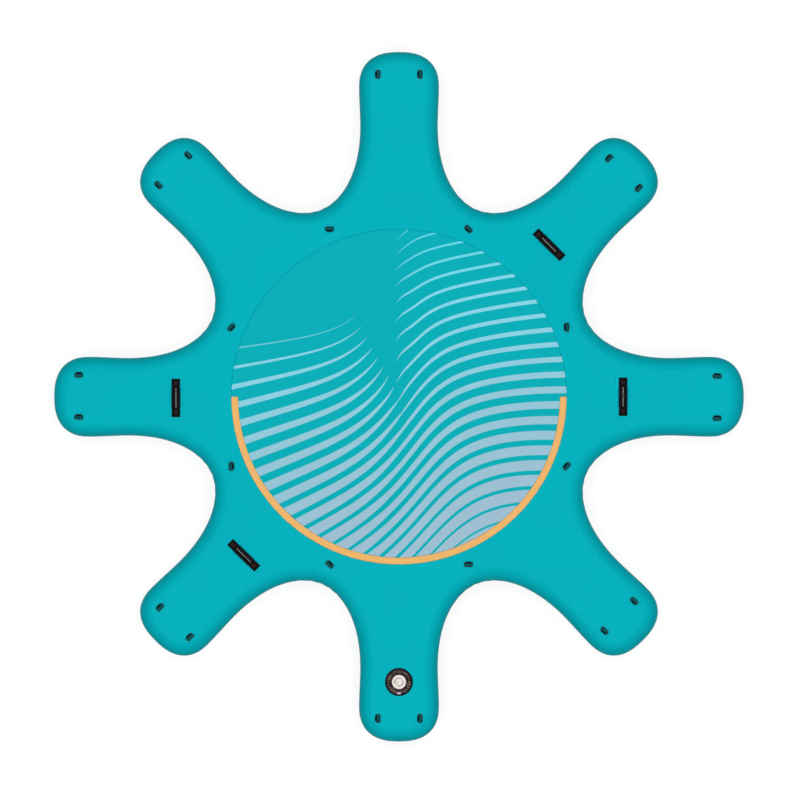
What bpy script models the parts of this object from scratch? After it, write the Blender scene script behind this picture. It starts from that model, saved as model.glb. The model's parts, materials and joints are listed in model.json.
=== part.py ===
"""Inflatable yoga platform: an eight-armed drop-stitch float with a soft pad on its deck.

Metres, +Z up. The origin is on the floor under the platform's middle, +X and +Y run
along two of the arms, and the air valve is on the arm that points along -Y.
"""
import math

import bmesh
import bpy
from mathutils import Matrix, Vector

# Gap left between pieces that lie against each other, and between pieces that move.
TOUCH_GAP = 0.0003
RUNNING_GAP = 0.0005
# Points closer than this are one point.
MERGE_DISTANCE = 0.000001
SCREW_MERGE_DISTANCE = 0.00001

# Air chamber: flat deck and underside, joined by a side wall that bulges under pressure.
ARM_COUNT = 8
ARM_REACH = 1.450
CHAMBER_THICKNESS = 0.150
SKIN_THICKNESS = 0.0015
WALL_BULGE = 0.055
WALL_STEPS = 6

# Outline of an arm. Its end is a squared ellipse and its root runs into the notch.
TIP_LENGTH = 0.150
TIP_HALF_WIDTH = 0.168
TIP_SQUARENESS = 2.45
TIP_STEPS = 6
NECK_FROM_TIP = 0.310
NECK_HALF_WIDTH = 0.163
NECK_PULL = 0.515
NOTCH_PULL = 0.245
NOTCH_STEPS = 5

# Deck pad with a contrasting half ring let into its edge.
PAD_RADIUS = 0.704
PAD_THICKNESS = 0.005
PAD_SEGMENTS = 64
TRIM_WIDTH = 0.028

# Tie-down rings. One sits inside each notch and two sit near the end of each arm.
RING_LENGTH = 0.037
RING_WIDTH = 0.021
RING_ROD = 0.004
RING_CORNER = 0.005
HUB_RING_FROM_PAD = 0.0585
NOTCH_FROM_HUB_RING = 0.0905
HUB_RING_TURN = math.radians(-22.5)
TIP_RING_SPACING = 0.177
# Place of each arm's pair, anticlockwise from +X: distance from the arm's end, and distance
# anticlockwise of the arm's middle. The patches are placed by hand, so the pairs differ.
TIP_RING_FROM_TIP = (0.114, 0.118, 0.096, 0.107, 0.105, 0.115, 0.099, 0.145)
TIP_RING_SIDEWAYS = (-0.002, -0.004, 0.0, -0.003, -0.003, 0.004, 0.0, 0.004)

# A ring's patch, and the webbing loop that comes out of the patch and holds the ring.
# The loop sinks into the patch, so that the two are one piece with the deck sheet.
PATCH_LENGTH = 0.054
PATCH_WIDTH = 0.036
PATCH_CORNER = 0.010
PATCH_THICKNESS = 0.001
LOOP_THICKNESS = 0.0012
LOOP_END_GAP = 0.0005
LOOP_SIDES = 10
LOOP_SINK = 0.0005

# Carry handles: (direction in degrees, distance past the edge of the pad).
HANDLE_PLACES = ((0.0, 0.237), (45.35, 0.193), (180.3, 0.233), (225.6, 0.228))
HANDLE_LENGTH = 0.161
HANDLE_WIDTH = 0.036
HANDLE_TAB = 0.0265
STRAP_THICKNESS = 0.002
STRAP_RISE = 0.0035
STRAP_IN_GRIP = 0.033
GRIP_LENGTH = 0.088
GRIP_WALL = 0.0015
GRIP_CORNER = 0.002
BASE_MARGIN = 0.014
BASE_CORNER = 0.012
BASE_THICKNESS = 0.001

# Air valve: screwed body and inner nut, cap, and a sprung stem that carries the diaphragm.
VALVE_FROM_TIP = 0.252
VALVE_SEGMENTS = 24
VALVE_BORE = 0.0165
VALVE_WALL = 0.006
FLANGE_WIDTH = 0.007
FLANGE_HEIGHT = 0.005
FLANGE_ROUND = 0.0015
LEDGE_WIDTH = 0.0028
LEDGE_HEIGHT = 0.0015
SEAT_DEPTH = 0.0210
SEAT_THICKNESS = 0.0025
SEAT_LIP = 0.005
BARREL_DEPTH = 0.033
SPIDER_HUB_WALL = 0.0016
SPIDER_HUB_RISE = 0.001
SPIDER_ARM = 0.0022
SPIDER_ARM_INSET = 0.0003
SPIDER_ARMS = 3
VALVE_PATCH_WIDTH = 0.029
VALVE_PATCH_THICKNESS = 0.0012
NUT_WIDTH = 0.0068
NUT_HEIGHT = 0.007
POCKET_GAP = 0.0015
POCKET_DEPTH = 0.040
DIAPHRAGM_RIM_GAP = 0.002
DIAPHRAGM_THICKNESS = 0.002
STEM_RADIUS = 0.0025
STEM_HEAD_RADIUS = 0.005
STEM_HEAD_HEIGHT = 0.0025
STEM_HEAD_DEPTH = 0.0075
STEM_FOOT_RADIUS = 0.0045
STEM_FOOT_HEIGHT = 0.0024
STEM_SEGMENTS = 16
SPRING_WIRE = 0.0007
SPRING_RADIUS = 0.0039
SPRING_TURNS = 5
SPRING_POINTS_PER_TURN = 8
SEAL_THICKNESS = 0.0009
CAP_TOP_THICKNESS = 0.0038
CAP_SKIRT_WALL = 0.002
CAP_SKIRT_DEPTH = 0.0008
CAP_BAR_LENGTH = 0.028
CAP_BAR_WIDTH = 0.005
CAP_BAR_HEIGHT = 0.003
CAP_BAR_SINK = 0.001
CAP_BAR_TURN = math.radians(45.0)

# Values that several pieces share.
DECK_Z = CHAMBER_THICKNESS
ON_DECK_Z = DECK_Z + TOUCH_GAP
MID_Z = CHAMBER_THICKNESS / 2.0
ARM_PITCH = math.tau / ARM_COUNT
WALL_RADIUS = (MID_Z ** 2 + WALL_BULGE ** 2) / (2.0 * WALL_BULGE)
HUB_RING_RADIUS = PAD_RADIUS + HUB_RING_FROM_PAD
NOTCH_RADIUS = HUB_RING_RADIUS + NOTCH_FROM_HUB_RING
TUNNEL_RADIUS = RING_ROD / 2.0 + TOUCH_GAP
LOOP_RADIUS = TUNNEL_RADIUS + LOOP_THICKNESS
BAR_Z = DECK_Z + PATCH_THICKNESS + LOOP_RADIUS - LOOP_SINK
VALVE_CENTRE = Vector((0.0, -(ARM_REACH - VALVE_FROM_TIP), 0.0))
BARREL_RADIUS = VALVE_BORE + VALVE_WALL
FLANGE_RADIUS = BARREL_RADIUS + FLANGE_WIDTH
CAP_RECESS = VALVE_BORE + LEDGE_WIDTH
NUT_RADIUS = BARREL_RADIUS + TOUCH_GAP + NUT_WIDTH
STEM_BORE = STEM_RADIUS + TOUCH_GAP

TEAL = (0.0, 0.46, 0.53)
PAD_TEAL = (0.0, 0.41, 0.49)
ORANGE = (0.88, 0.44, 0.13)
BLACK = (0.012, 0.012, 0.013)
DARK_BROWN = (0.045, 0.032, 0.030)
OFF_WHITE = (0.80, 0.76, 0.71)
THREAD_WHITE = (0.75, 0.75, 0.72)
STEEL = (0.60, 0.60, 0.62)

for leftover in list(bpy.data.objects):
    bpy.data.objects.remove(leftover, do_unlink=True)

PARTS = bpy.data.collections.new("inflatable_yoga_platform")
CUTTERS = bpy.data.collections.new("cutters")
bpy.context.scene.collection.children.link(PARTS)
bpy.context.scene.collection.children.link(CUTTERS)


def material(name, colour, roughness, metallic=0.0):
    """A plain finish for one kind of piece."""
    made = bpy.data.materials.new(name)
    made.use_nodes = True
    shader = made.node_tree.nodes["Principled BSDF"]
    shader.inputs["Base Color"].default_value = (*colour, 1.0)
    shader.inputs["Roughness"].default_value = roughness
    shader.inputs["Metallic"].default_value = metallic
    return made


def place(piece, finish, location=(0.0, 0.0, 0.0), turn=0.0):
    """Put a finished piece among the parts, at its place and turned about Z."""
    piece.data.materials.clear()
    piece.data.materials.append(finish)
    piece.location = location
    piece.rotation_euler = (0.0, 0.0, turn)
    PARTS.objects.link(piece)
    return piece


def as_cutter(piece):
    """Keep a shape that only cuts or joins another one."""
    piece.hide_render = True
    piece.display_type = "WIRE"
    CUTTERS.objects.link(piece)
    return piece


def combine(piece, tool, operation):
    """Cut a piece with a tool, or join or trim it with one."""
    boolean = piece.modifiers.new(tool.name, "BOOLEAN")
    boolean.operation = operation
    boolean.solver = "EXACT"
    boolean.object = tool


def mesh_from_bmesh(name, shape):
    """Turn a closed bmesh into an object whose faces point out."""
    bmesh.ops.remove_doubles(shape, verts=shape.verts, dist=MERGE_DISTANCE)
    bmesh.ops.recalc_face_normals(shape, faces=shape.faces)
    mesh = bpy.data.meshes.new(name)
    shape.to_mesh(mesh)
    shape.free()
    return bpy.data.objects.new(name, mesh)


def curve_as_mesh(name, curve):
    """Make a curve's surface a closed mesh and drop the curve."""
    holder = bpy.data.objects.new(name + "_curve", curve)
    bpy.context.scene.collection.objects.link(holder)
    bpy.context.view_layer.update()
    depsgraph = bpy.context.evaluated_depsgraph_get()
    surface = bpy.data.meshes.new_from_object(holder.evaluated_get(depsgraph))
    bpy.data.objects.remove(holder, do_unlink=True)
    bpy.data.curves.remove(curve)
    shape = bmesh.new()
    shape.from_mesh(surface)
    bpy.data.meshes.remove(surface)
    return mesh_from_bmesh(name, shape)


def flat_piece(name, outlines, thickness):
    """A sheet cut to outlines in its XY plane, centred on z = 0. Later outlines are holes."""
    curve = bpy.data.curves.new(name, "CURVE")
    curve.dimensions = "2D"
    curve.fill_mode = "BOTH"
    curve.extrude = thickness / 2.0
    for outline in outlines:
        spline = curve.splines.new("POLY")
        spline.points.add(len(outline) - 1)
        for point, (x, y) in zip(spline.points, outline):
            point.co = (x, y, 0.0, 1.0)
        spline.use_cyclic_u = True
    return curve_as_mesh(name, curve)


def wire(name, points, diameter, cyclic):
    """A round wire or rod of six sides along a path."""
    curve = bpy.data.curves.new(name, "CURVE")
    curve.dimensions = "3D"
    curve.bevel_depth = diameter / 2.0
    curve.bevel_resolution = 1
    curve.use_fill_caps = not cyclic
    spline = curve.splines.new("POLY")
    spline.points.add(len(points) - 1)
    for point, position in zip(spline.points, points):
        point.co = (*position, 1.0)
    spline.use_cyclic_u = cyclic
    return curve_as_mesh(name, curve)


def turned(name, profile, segments):
    """A piece turned about Z from (radius, z) points that go clockwise round its section."""
    mesh = bpy.data.meshes.new(name)
    count = len(profile)
    edges = [(i, (i + 1) % count) for i in range(count)]
    mesh.from_pydata([(radius, 0.0, z) for radius, z in profile], edges, [])
    piece = bpy.data.objects.new(name, mesh)
    screw = piece.modifiers.new("Turn", "SCREW")
    screw.axis = "Z"
    screw.steps = segments
    screw.render_steps = segments
    screw.use_merge_vertices = True
    screw.merge_threshold = SCREW_MERGE_DISTANCE
    return piece


def ring_section(inner, outer, low, high):
    """Section of a plain turned ring."""
    return [(outer, high), (outer, low), (inner, low), (inner, high)]


def arc(radius, start, end, steps, centre=(0.0, 0.0)):
    """Points on an arc, both ends included; angles in radians."""
    angles = [start + (end - start) * i / steps for i in range(steps + 1)]
    return [
        (centre[0] + radius * math.cos(a), centre[1] + radius * math.sin(a)) for a in angles
    ]


def rounded_box(length, width, corner, steps=1):
    """Outline of a box with rounded corners, centred on the origin."""
    outline = []
    for quarter in range(4):
        start = quarter * math.pi / 2.0
        x = (length / 2.0 - corner) * (1 if quarter in (0, 3) else -1)
        y = (width / 2.0 - corner) * (1 if quarter in (0, 1) else -1)
        outline += arc(corner, start, start + math.pi / 2.0, steps, (x, y))
    return outline


def half_arm():
    """Points and outward normals from the end of the +X arm to the middle of its notch."""
    samples = []
    tip_x = ARM_REACH - TIP_LENGTH
    power = 2.0 / TIP_SQUARENESS
    for i in range(TIP_STEPS + 1):
        angle = math.pi / 2.0 * i / TIP_STEPS
        u = max(math.cos(angle), 0.0) ** power if i < TIP_STEPS else 0.0
        v = math.sin(angle) ** power
        normal = Vector((
            u ** (TIP_SQUARENESS - 1.0) / TIP_LENGTH,
            v ** (TIP_SQUARENESS - 1.0) / TIP_HALF_WIDTH,
        ))
        point = Vector((tip_x + TIP_LENGTH * u, TIP_HALF_WIDTH * v))
        samples.append((point, normal.normalized()))
    half_pitch = ARM_PITCH / 2.0
    neck = Vector((ARM_REACH - NECK_FROM_TIP, NECK_HALF_WIDTH))
    notch = Vector((math.cos(half_pitch), math.sin(half_pitch))) * NOTCH_RADIUS
    notch_run = Vector((-math.sin(half_pitch), math.cos(half_pitch)))
    span = (notch - neck).length
    handle_a = neck + Vector((-NECK_PULL * span, 0.0))
    handle_b = notch - notch_run * (NOTCH_PULL * span)
    for i in range(NOTCH_STEPS + 1):
        t = i / NOTCH_STEPS
        s = 1.0 - t
        point = s ** 3 * neck + 3 * s * s * t * handle_a + 3 * s * t * t * handle_b + t ** 3 * notch
        run = s * s * (handle_a - neck) + 2 * s * t * (handle_b - handle_a) + t * t * (notch - handle_b)
        samples.append((point, Vector((run.y, -run.x)).normalized()))
    return samples


def star_samples():
    """Points and outward normals all round the platform, anticlockwise."""
    upper = half_arm()
    lower = [
        (Vector((point.x, -point.y)), Vector((normal.x, -normal.y)))
        for point, normal in reversed(upper[1:-1])
    ]
    samples = []
    for arm in range(ARM_COUNT):
        turn = Matrix.Rotation(arm * ARM_PITCH, 2)
        samples += [(turn @ point, turn @ normal) for point, normal in lower + upper]
    return samples


STAR = star_samples()


def star_outline(inset):
    """The platform's outline, moved inwards."""
    return [tuple(point - normal * inset) for point, normal in STAR]


def wall_section(radius, half_height):
    """(inset, z) points down a bulged wall; the bulge is centred on the same line for all."""
    lean = math.asin(half_height / radius)
    angles = [lean - 2.0 * lean * i / WALL_STEPS for i in range(WALL_STEPS + 1)]
    return [(WALL_RADIUS - radius * math.cos(a), MID_Z + radius * math.sin(a)) for a in angles]


def star_loft(name, section, closed):
    """A body lofted round the star through (inset, z) points, hollow where closed."""
    shape = bmesh.new()
    rings = []
    for inset, z in section:
        rings.append([shape.verts.new((x, y, z)) for x, y in star_outline(inset)])
    count = len(rings[0])
    pairs = list(zip(rings, rings[1:]))
    if closed:
        pairs.append((rings[-1], rings[0]))
    else:
        shape.faces.new(rings[0])
        shape.faces.new(rings[-1])
    for upper, lower in pairs:
        for i in range(count):
            j = (i + 1) % count
            shape.faces.new((upper[i], upper[j], lower[j], lower[i]))
    return mesh_from_bmesh(name, shape)


def ring_places():
    """(name, centre, direction of the held bar) for every tie-down ring.

    Both rings of an arm are held on the same side: the anticlockwise one on the first half
    of the arms, and the clockwise one on the others.
    """
    places = []
    for notch in range(ARM_COUNT):
        angle = (notch + 0.5) * ARM_PITCH
        centre = Vector((math.cos(angle), math.sin(angle))) * HUB_RING_RADIUS
        bar = angle - math.pi / 2.0 + HUB_RING_TURN
        places.append((f"hub_ring_{notch + 1}", centre, bar))
    for arm in range(ARM_COUNT):
        angle = arm * ARM_PITCH
        along = Vector((math.cos(angle), math.sin(angle)))
        across = Vector((-math.sin(angle), math.cos(angle)))
        middle = along * (ARM_REACH - TIP_RING_FROM_TIP[arm]) + across * TIP_RING_SIDEWAYS[arm]
        half = across * (TIP_RING_SPACING / 2.0)
        bar = angle + math.pi if arm < ARM_COUNT // 2 else angle
        places.append((f"tip_ring_{arm + 1}_left", middle + half, bar))
        places.append((f"tip_ring_{arm + 1}_right", middle - half, bar))
    return places


RING_PLACES = ring_places()


def copies_on_deck(name, template, offset_y, z):
    """One mesh that holds a copy of a small shape at every ring, moved towards its bar."""
    shape = bmesh.new()
    for _, centre, bar in RING_PLACES:
        place_matrix = Matrix.Translation((centre.x, centre.y, z)) @ Matrix.Rotation(bar, 4, "Z")
        copy = template.data.copy()
        copy.transform(place_matrix @ Matrix.Translation((0.0, offset_y, 0.0)))
        shape.from_mesh(copy)
        bpy.data.meshes.remove(copy)
    bpy.data.objects.remove(template, do_unlink=True)
    return mesh_from_bmesh(name, shape)


def valve_hole(name, radius, low, high):
    """A round cutter on the valve's axis."""
    shape = bmesh.new()
    bmesh.ops.create_cone(
        shape, cap_ends=True, segments=VALVE_SEGMENTS, radius1=radius, radius2=radius,
        depth=high - low, matrix=Matrix.Translation((0.0, 0.0, (low + high) / 2.0)),
    )
    cutter = mesh_from_bmesh(name, shape)
    cutter.location = VALVE_CENTRE
    return as_cutter(cutter)


def make_top_skin():
    """Deck sheet, with each ring's patch and webbing loop welded to it."""
    edge = WALL_BULGE + SKIN_THICKNESS
    skin = flat_piece("top_skin", [star_outline(edge)], SKIN_THICKNESS)
    skin.data.transform(Matrix.Translation((0.0, 0.0, DECK_Z - SKIN_THICKNESS / 2.0)))

    patch = flat_piece(
        "patch", [rounded_box(PATCH_LENGTH, PATCH_WIDTH, PATCH_CORNER)],
        PATCH_THICKNESS + SKIN_THICKNESS / 2.0,
    )
    patch_mid = DECK_Z + PATCH_THICKNESS / 2.0 - SKIN_THICKNESS / 4.0
    patches = as_cutter(copies_on_deck("ring_patches", patch, 0.0, patch_mid))
    deck_edge = flat_piece(
        "deck_edge", [star_outline(edge + SKIN_THICKNESS)], 4.0 * CHAMBER_THICKNESS,
    )
    combine(patches, as_cutter(deck_edge), "INTERSECT")
    combine(skin, patches, "UNION")

    straight_bar = RING_LENGTH - RING_ROD - 2.0 * RING_CORNER
    loop_width = straight_bar - 2.0 * LOOP_END_GAP
    loop = flat_piece(
        "loop",
        [
            arc(LOOP_RADIUS, 0.0, math.tau, LOOP_SIDES)[:-1],
            arc(TUNNEL_RADIUS, 0.0, math.tau, LOOP_SIDES)[:-1],
        ],
        loop_width,
    )
    on_end = Matrix.Rotation(math.pi / 2.0, 4, "Y") @ Matrix.Rotation(math.pi / 2.0, 4, "Z")
    loop.data.transform(on_end)
    bar_offset = (RING_ROD - RING_WIDTH) / 2.0
    loops = as_cutter(copies_on_deck("ring_loops", loop, bar_offset, BAR_Z))
    combine(skin, loops, "UNION")

    hole = valve_hole(
        "valve_hole_in_skin", BARREL_RADIUS + RUNNING_GAP,
        DECK_Z - 3.0 * SKIN_THICKNESS, DECK_Z + 3.0 * SKIN_THICKNESS,
    )
    combine(skin, hole, "DIFFERENCE")
    place(skin, material("deck_pvc", TEAL, 0.45))


def make_bottom_skin():
    """Underside sheet, which rests on the water or the floor."""
    skin = flat_piece("bottom_skin", [star_outline(WALL_BULGE + SKIN_THICKNESS)], SKIN_THICKNESS)
    skin.data.transform(Matrix.Translation((0.0, 0.0, SKIN_THICKNESS / 2.0)))
    place(skin, material("underside_pvc", TEAL, 0.5))


def make_side_wall():
    """Airtight strip round the edge, blown out into a half round."""
    outer = wall_section(WALL_RADIUS, MID_Z)
    inner_radius = WALL_RADIUS - SKIN_THICKNESS
    inner = wall_section(inner_radius, MID_Z * inner_radius / WALL_RADIUS)
    wall = star_loft("side_wall", outer + inner[::-1], True)
    place(wall, material("side_wall_pvc", TEAL, 0.42))


def make_core():
    """Air space and its drop threads as one solid, with a pocket round the valve."""
    shrink = SKIN_THICKNESS + TOUCH_GAP
    core = star_loft(
        "drop_stitch_core", wall_section(WALL_RADIUS - shrink, MID_Z - shrink), False,
    )
    pocket = valve_hole(
        "valve_pocket", NUT_RADIUS + POCKET_GAP, DECK_Z - POCKET_DEPTH, DECK_Z + POCKET_GAP,
    )
    combine(core, pocket, "DIFFERENCE")
    place(core, material("drop_threads", THREAD_WHITE, 0.9))


def make_pad():
    """Round foam pad, and the half ring let into its edge on the valve's side."""
    half = PAD_SEGMENTS // 2
    trim_inner = PAD_RADIUS - TRIM_WIDTH
    outline = arc(PAD_RADIUS, 0.0, math.pi, half)
    outline += arc(trim_inner - TOUCH_GAP, math.pi, math.tau, half)
    pad = flat_piece("deck_pad", [outline], PAD_THICKNESS)
    centre = (0.0, 0.0, ON_DECK_Z + PAD_THICKNESS / 2.0)
    place(pad, material("pad_foam", PAD_TEAL, 0.8), centre)

    end = math.asin(TOUCH_GAP / trim_inner)
    band = arc(PAD_RADIUS, math.pi + end, math.tau - end, half)
    band += arc(trim_inner, math.tau - end, math.pi + end, half)
    trim = flat_piece("deck_pad_trim", [band], PAD_THICKNESS)
    place(trim, material("trim_foam", ORANGE, 0.75), centre)


def make_rings():
    """Tie-down rings, each lying flat and free to swing over on its held bar."""
    finish = material("ring_plastic", BLACK, 0.35)
    path = rounded_box(RING_LENGTH - RING_ROD, RING_WIDTH - RING_ROD, RING_CORNER)
    far = (RING_WIDTH - RING_ROD) / 2.0
    for name, centre, bar in RING_PLACES:
        ring = wire(name, [(x, y + far, 0.0) for x, y in path], RING_ROD, True)
        to_bar = Vector((math.sin(bar), -math.cos(bar))) * far
        place(ring, finish, (centre.x + to_bar.x, centre.y + to_bar.y, BAR_Z), bar)


def make_handle(number, direction, from_pad, finishes):
    """One carry handle: welded base, webbing strap and the soft grip round the strap."""
    angle = math.radians(direction)
    reach = PAD_RADIUS + from_pad
    x = reach * math.cos(angle)
    y = reach * math.sin(angle)
    turn = angle + math.pi / 2.0
    on_end = Matrix.Rotation(math.pi / 2.0, 4, "X")

    base_length = HANDLE_LENGTH + 2.0 * BASE_MARGIN
    base_width = HANDLE_WIDTH + 2.0 * BASE_MARGIN
    base = flat_piece(
        f"handle_{number}_base", [rounded_box(base_length, base_width, BASE_CORNER, 2)],
        BASE_THICKNESS,
    )
    place(base, finishes["base"], (x, y, ON_DECK_Z + BASE_THICKNESS / 2.0), turn)

    strap_low = ON_DECK_Z + BASE_THICKNESS + TOUCH_GAP
    tab = HANDLE_LENGTH / 2.0 - HANDLE_TAB
    half = HANDLE_LENGTH / 2.0
    grip_half = GRIP_LENGTH / 2.0
    under = [(-half, 0.0), (-tab, 0.0), (-grip_half, STRAP_RISE)]
    under += [(-px, pz) for px, pz in reversed(under)]
    over = [(px, pz + STRAP_THICKNESS) for px, pz in reversed(under)]
    strap = flat_piece(f"handle_{number}_strap", [under + over], HANDLE_WIDTH)
    strap.data.transform(on_end)
    for vertex in strap.data.vertices:
        if abs(vertex.co.x) < (tab + grip_half) / 2.0:
            vertex.co.y *= STRAP_IN_GRIP / HANDLE_WIDTH
    place(strap, finishes["strap"], (x, y, strap_low), turn)

    slot_width = STRAP_IN_GRIP + 2.0 * TOUCH_GAP
    slot_height = STRAP_THICKNESS + 2.0 * TOUCH_GAP
    slot = rounded_box(slot_width, slot_height, TOUCH_GAP / 2.0)
    outer = rounded_box(slot_width + 2.0 * GRIP_WALL, slot_height + 2.0 * GRIP_WALL, GRIP_CORNER)
    grip = flat_piece(f"handle_{number}_grip", [outer, slot], GRIP_LENGTH)
    grip.data.transform(Matrix.Rotation(math.pi / 2.0, 4, "Z") @ on_end)
    grip_z = strap_low + STRAP_RISE + STRAP_THICKNESS / 2.0
    place(grip, finishes["grip"], (x, y, grip_z), turn)


def make_handles():
    """The four handles, on the pad side of their arms."""
    finishes = {
        "base": material("handle_base_pvc", TEAL, 0.45),
        "strap": material("handle_webbing", BLACK, 0.8),
        "grip": material("handle_grip_rubber", BLACK, 0.55),
    }
    for i, (direction, from_pad) in enumerate(HANDLE_PLACES):
        make_handle(i + 1, direction, from_pad, finishes)


def make_valve_body():
    """Flanged barrel with a seat, and a spider in the seat that guides the stem."""
    seat_top = DECK_Z - SEAT_DEPTH
    seat_low = seat_top - SEAT_THICKNESS
    barrel_low = DECK_Z - BARREL_DEPTH
    flange_top = ON_DECK_Z + FLANGE_HEIGHT
    ledge = ON_DECK_Z + LEDGE_HEIGHT
    section = [
        (FLANGE_RADIUS - FLANGE_ROUND, flange_top),
        (FLANGE_RADIUS, flange_top - FLANGE_ROUND),
        (FLANGE_RADIUS, ON_DECK_Z),
        (BARREL_RADIUS, ON_DECK_Z),
        (BARREL_RADIUS, barrel_low),
        (VALVE_BORE, barrel_low),
        (VALVE_BORE, seat_low),
        (VALVE_BORE - SEAT_LIP, seat_low),
        (VALVE_BORE - SEAT_LIP, seat_top),
        (VALVE_BORE, seat_top),
        (VALVE_BORE, ledge),
        (CAP_RECESS, ledge),
        (CAP_RECESS, flange_top),
    ]
    body = turned("valve_body", section, VALVE_SEGMENTS)

    hub_radius = STEM_BORE + SPIDER_HUB_WALL
    hub_top = seat_top + SPIDER_HUB_RISE
    hub = turned("spider_hub", ring_section(STEM_BORE, hub_radius, seat_low, hub_top), STEM_SEGMENTS)
    hub.location = VALVE_CENTRE
    as_cutter(hub)
    start = STEM_BORE + SPIDER_HUB_WALL / 2.0
    end = VALVE_BORE - SEAT_LIP / 2.0
    arms = bmesh.new()
    for i in range(SPIDER_ARMS):
        turn = Matrix.Rotation(math.tau * i / SPIDER_ARMS, 4, "Z")
        middle = Matrix.Translation(((start + end) / 2.0, 0.0, seat_low + SEAT_THICKNESS / 2.0))
        size = Matrix.Diagonal((end - start, SPIDER_ARM, SEAT_THICKNESS - 2.0 * SPIDER_ARM_INSET, 1.0))
        bmesh.ops.create_cube(arms, size=1.0, matrix=turn @ middle @ size)
    spider = mesh_from_bmesh("spider_arms", arms)
    spider.location = VALVE_CENTRE
    as_cutter(spider)
    combine(body, spider, "UNION")
    combine(body, hub, "UNION")
    place(body, material("valve_body_plastic", OFF_WHITE, 0.4), VALVE_CENTRE)


def make_valve_fixings():
    """Printed patch round the flange, and the nut that clamps the skin from inside."""
    inner = FLANGE_RADIUS + RUNNING_GAP
    patch = turned(
        "valve_patch",
        ring_section(
            inner, inner + VALVE_PATCH_WIDTH, ON_DECK_Z, ON_DECK_Z + VALVE_PATCH_THICKNESS,
        ),
        VALVE_SEGMENTS,
    )
    place(patch, material("valve_patch_rubber", DARK_BROWN, 0.5), VALVE_CENTRE)

    nut_top = DECK_Z - SKIN_THICKNESS - TOUCH_GAP
    section = ring_section(BARREL_RADIUS + TOUCH_GAP, NUT_RADIUS, nut_top - NUT_HEIGHT, nut_top)
    nut = turned("valve_nut", section, VALVE_SEGMENTS)
    place(nut, material("valve_nut_plastic", OFF_WHITE, 0.45), VALVE_CENTRE)


def make_valve_stem():
    """Diaphragm under the seat, the stem that pulls it shut, and the spring on the stem."""
    diaphragm_top = DECK_Z - SEAT_DEPTH - SEAT_THICKNESS - TOUCH_GAP
    diaphragm_low = diaphragm_top - DIAPHRAGM_THICKNESS
    disc = turned(
        "valve_diaphragm",
        ring_section(STEM_BORE, VALVE_BORE - DIAPHRAGM_RIM_GAP, diaphragm_low, diaphragm_top),
        VALVE_SEGMENTS,
    )
    place(disc, material("diaphragm_silicone", BLACK, 0.5), VALVE_CENTRE)

    head_top = DECK_Z - STEM_HEAD_DEPTH
    head_low = head_top - STEM_HEAD_HEIGHT
    foot_top = diaphragm_low - TOUCH_GAP
    foot_low = foot_top - STEM_FOOT_HEIGHT
    stem = turned(
        "valve_stem",
        [
            (0.0, head_top),
            (STEM_HEAD_RADIUS, head_top),
            (STEM_HEAD_RADIUS, head_low),
            (STEM_RADIUS, head_low),
            (STEM_RADIUS, foot_top),
            (STEM_FOOT_RADIUS, foot_top),
            (STEM_FOOT_RADIUS, foot_low),
            (0.0, foot_low),
        ],
        STEM_SEGMENTS,
    )
    place(stem, material("valve_stem_plastic", OFF_WHITE, 0.4), VALVE_CENTRE)

    wire_radius = SPRING_WIRE / 2.0
    low = DECK_Z - SEAT_DEPTH + SPIDER_HUB_RISE + TOUCH_GAP + wire_radius
    high = head_low - TOUCH_GAP - wire_radius
    count = SPRING_TURNS * SPRING_POINTS_PER_TURN
    coil = []
    for i in range(count + 1):
        angle = math.tau * i / SPRING_POINTS_PER_TURN
        z = low + (high - low) * i / count
        coil.append((SPRING_RADIUS * math.cos(angle), SPRING_RADIUS * math.sin(angle), z))
    spring = wire("valve_spring", coil, SPRING_WIRE, False)
    place(spring, material("spring_steel", STEEL, 0.3, 1.0), VALVE_CENTRE)


def make_valve_cap():
    """Cap that plugs the barrel, with a bar to turn it by, and its flat seal."""
    seal_low = ON_DECK_Z + LEDGE_HEIGHT + TOUCH_GAP
    seal_top = seal_low + SEAL_THICKNESS
    seal = turned(
        "cap_seal",
        ring_section(VALVE_BORE + TOUCH_GAP, CAP_RECESS - TOUCH_GAP, seal_low, seal_top),
        VALVE_SEGMENTS,
    )
    place(seal, material("seal_rubber", BLACK, 0.5), VALVE_CENTRE)

    rim_low = seal_top + TOUCH_GAP
    cap_top = rim_low + CAP_TOP_THICKNESS
    skirt = VALVE_BORE - RUNNING_GAP
    skirt_inner = skirt - CAP_SKIRT_WALL
    skirt_low = DECK_Z - CAP_SKIRT_DEPTH
    rim = CAP_RECESS - RUNNING_GAP
    cap = turned(
        "valve_cap",
        [
            (0.0, cap_top),
            (rim - FLANGE_ROUND / 2.0, cap_top),
            (rim, cap_top - FLANGE_ROUND / 2.0),
            (rim, rim_low),
            (skirt, rim_low),
            (skirt, skirt_low),
            (skirt_inner, skirt_low),
            (skirt_inner, rim_low),
            (0.0, rim_low),
        ],
        VALVE_SEGMENTS,
    )
    bar = bmesh.new()
    bar_height = CAP_BAR_HEIGHT + CAP_BAR_SINK
    middle = Matrix.Translation((0.0, 0.0, cap_top - CAP_BAR_SINK + bar_height / 2.0))
    turn = Matrix.Rotation(CAP_BAR_TURN, 4, "Z")
    size = Matrix.Diagonal((CAP_BAR_LENGTH, CAP_BAR_WIDTH, bar_height, 1.0))
    bmesh.ops.create_cube(bar, size=1.0, matrix=middle @ turn @ size)
    grip_bar = mesh_from_bmesh("cap_bar", bar)
    grip_bar.location = VALVE_CENTRE
    as_cutter(grip_bar)
    combine(cap, grip_bar, "UNION")
    place(cap, material("valve_cap_plastic", OFF_WHITE, 0.35), VALVE_CENTRE)


make_top_skin()
make_bottom_skin()
make_side_wall()
make_core()
make_pad()
make_rings()
make_handles()
make_valve_body()
make_valve_fixings()
make_valve_stem()
make_valve_cap()
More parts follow.
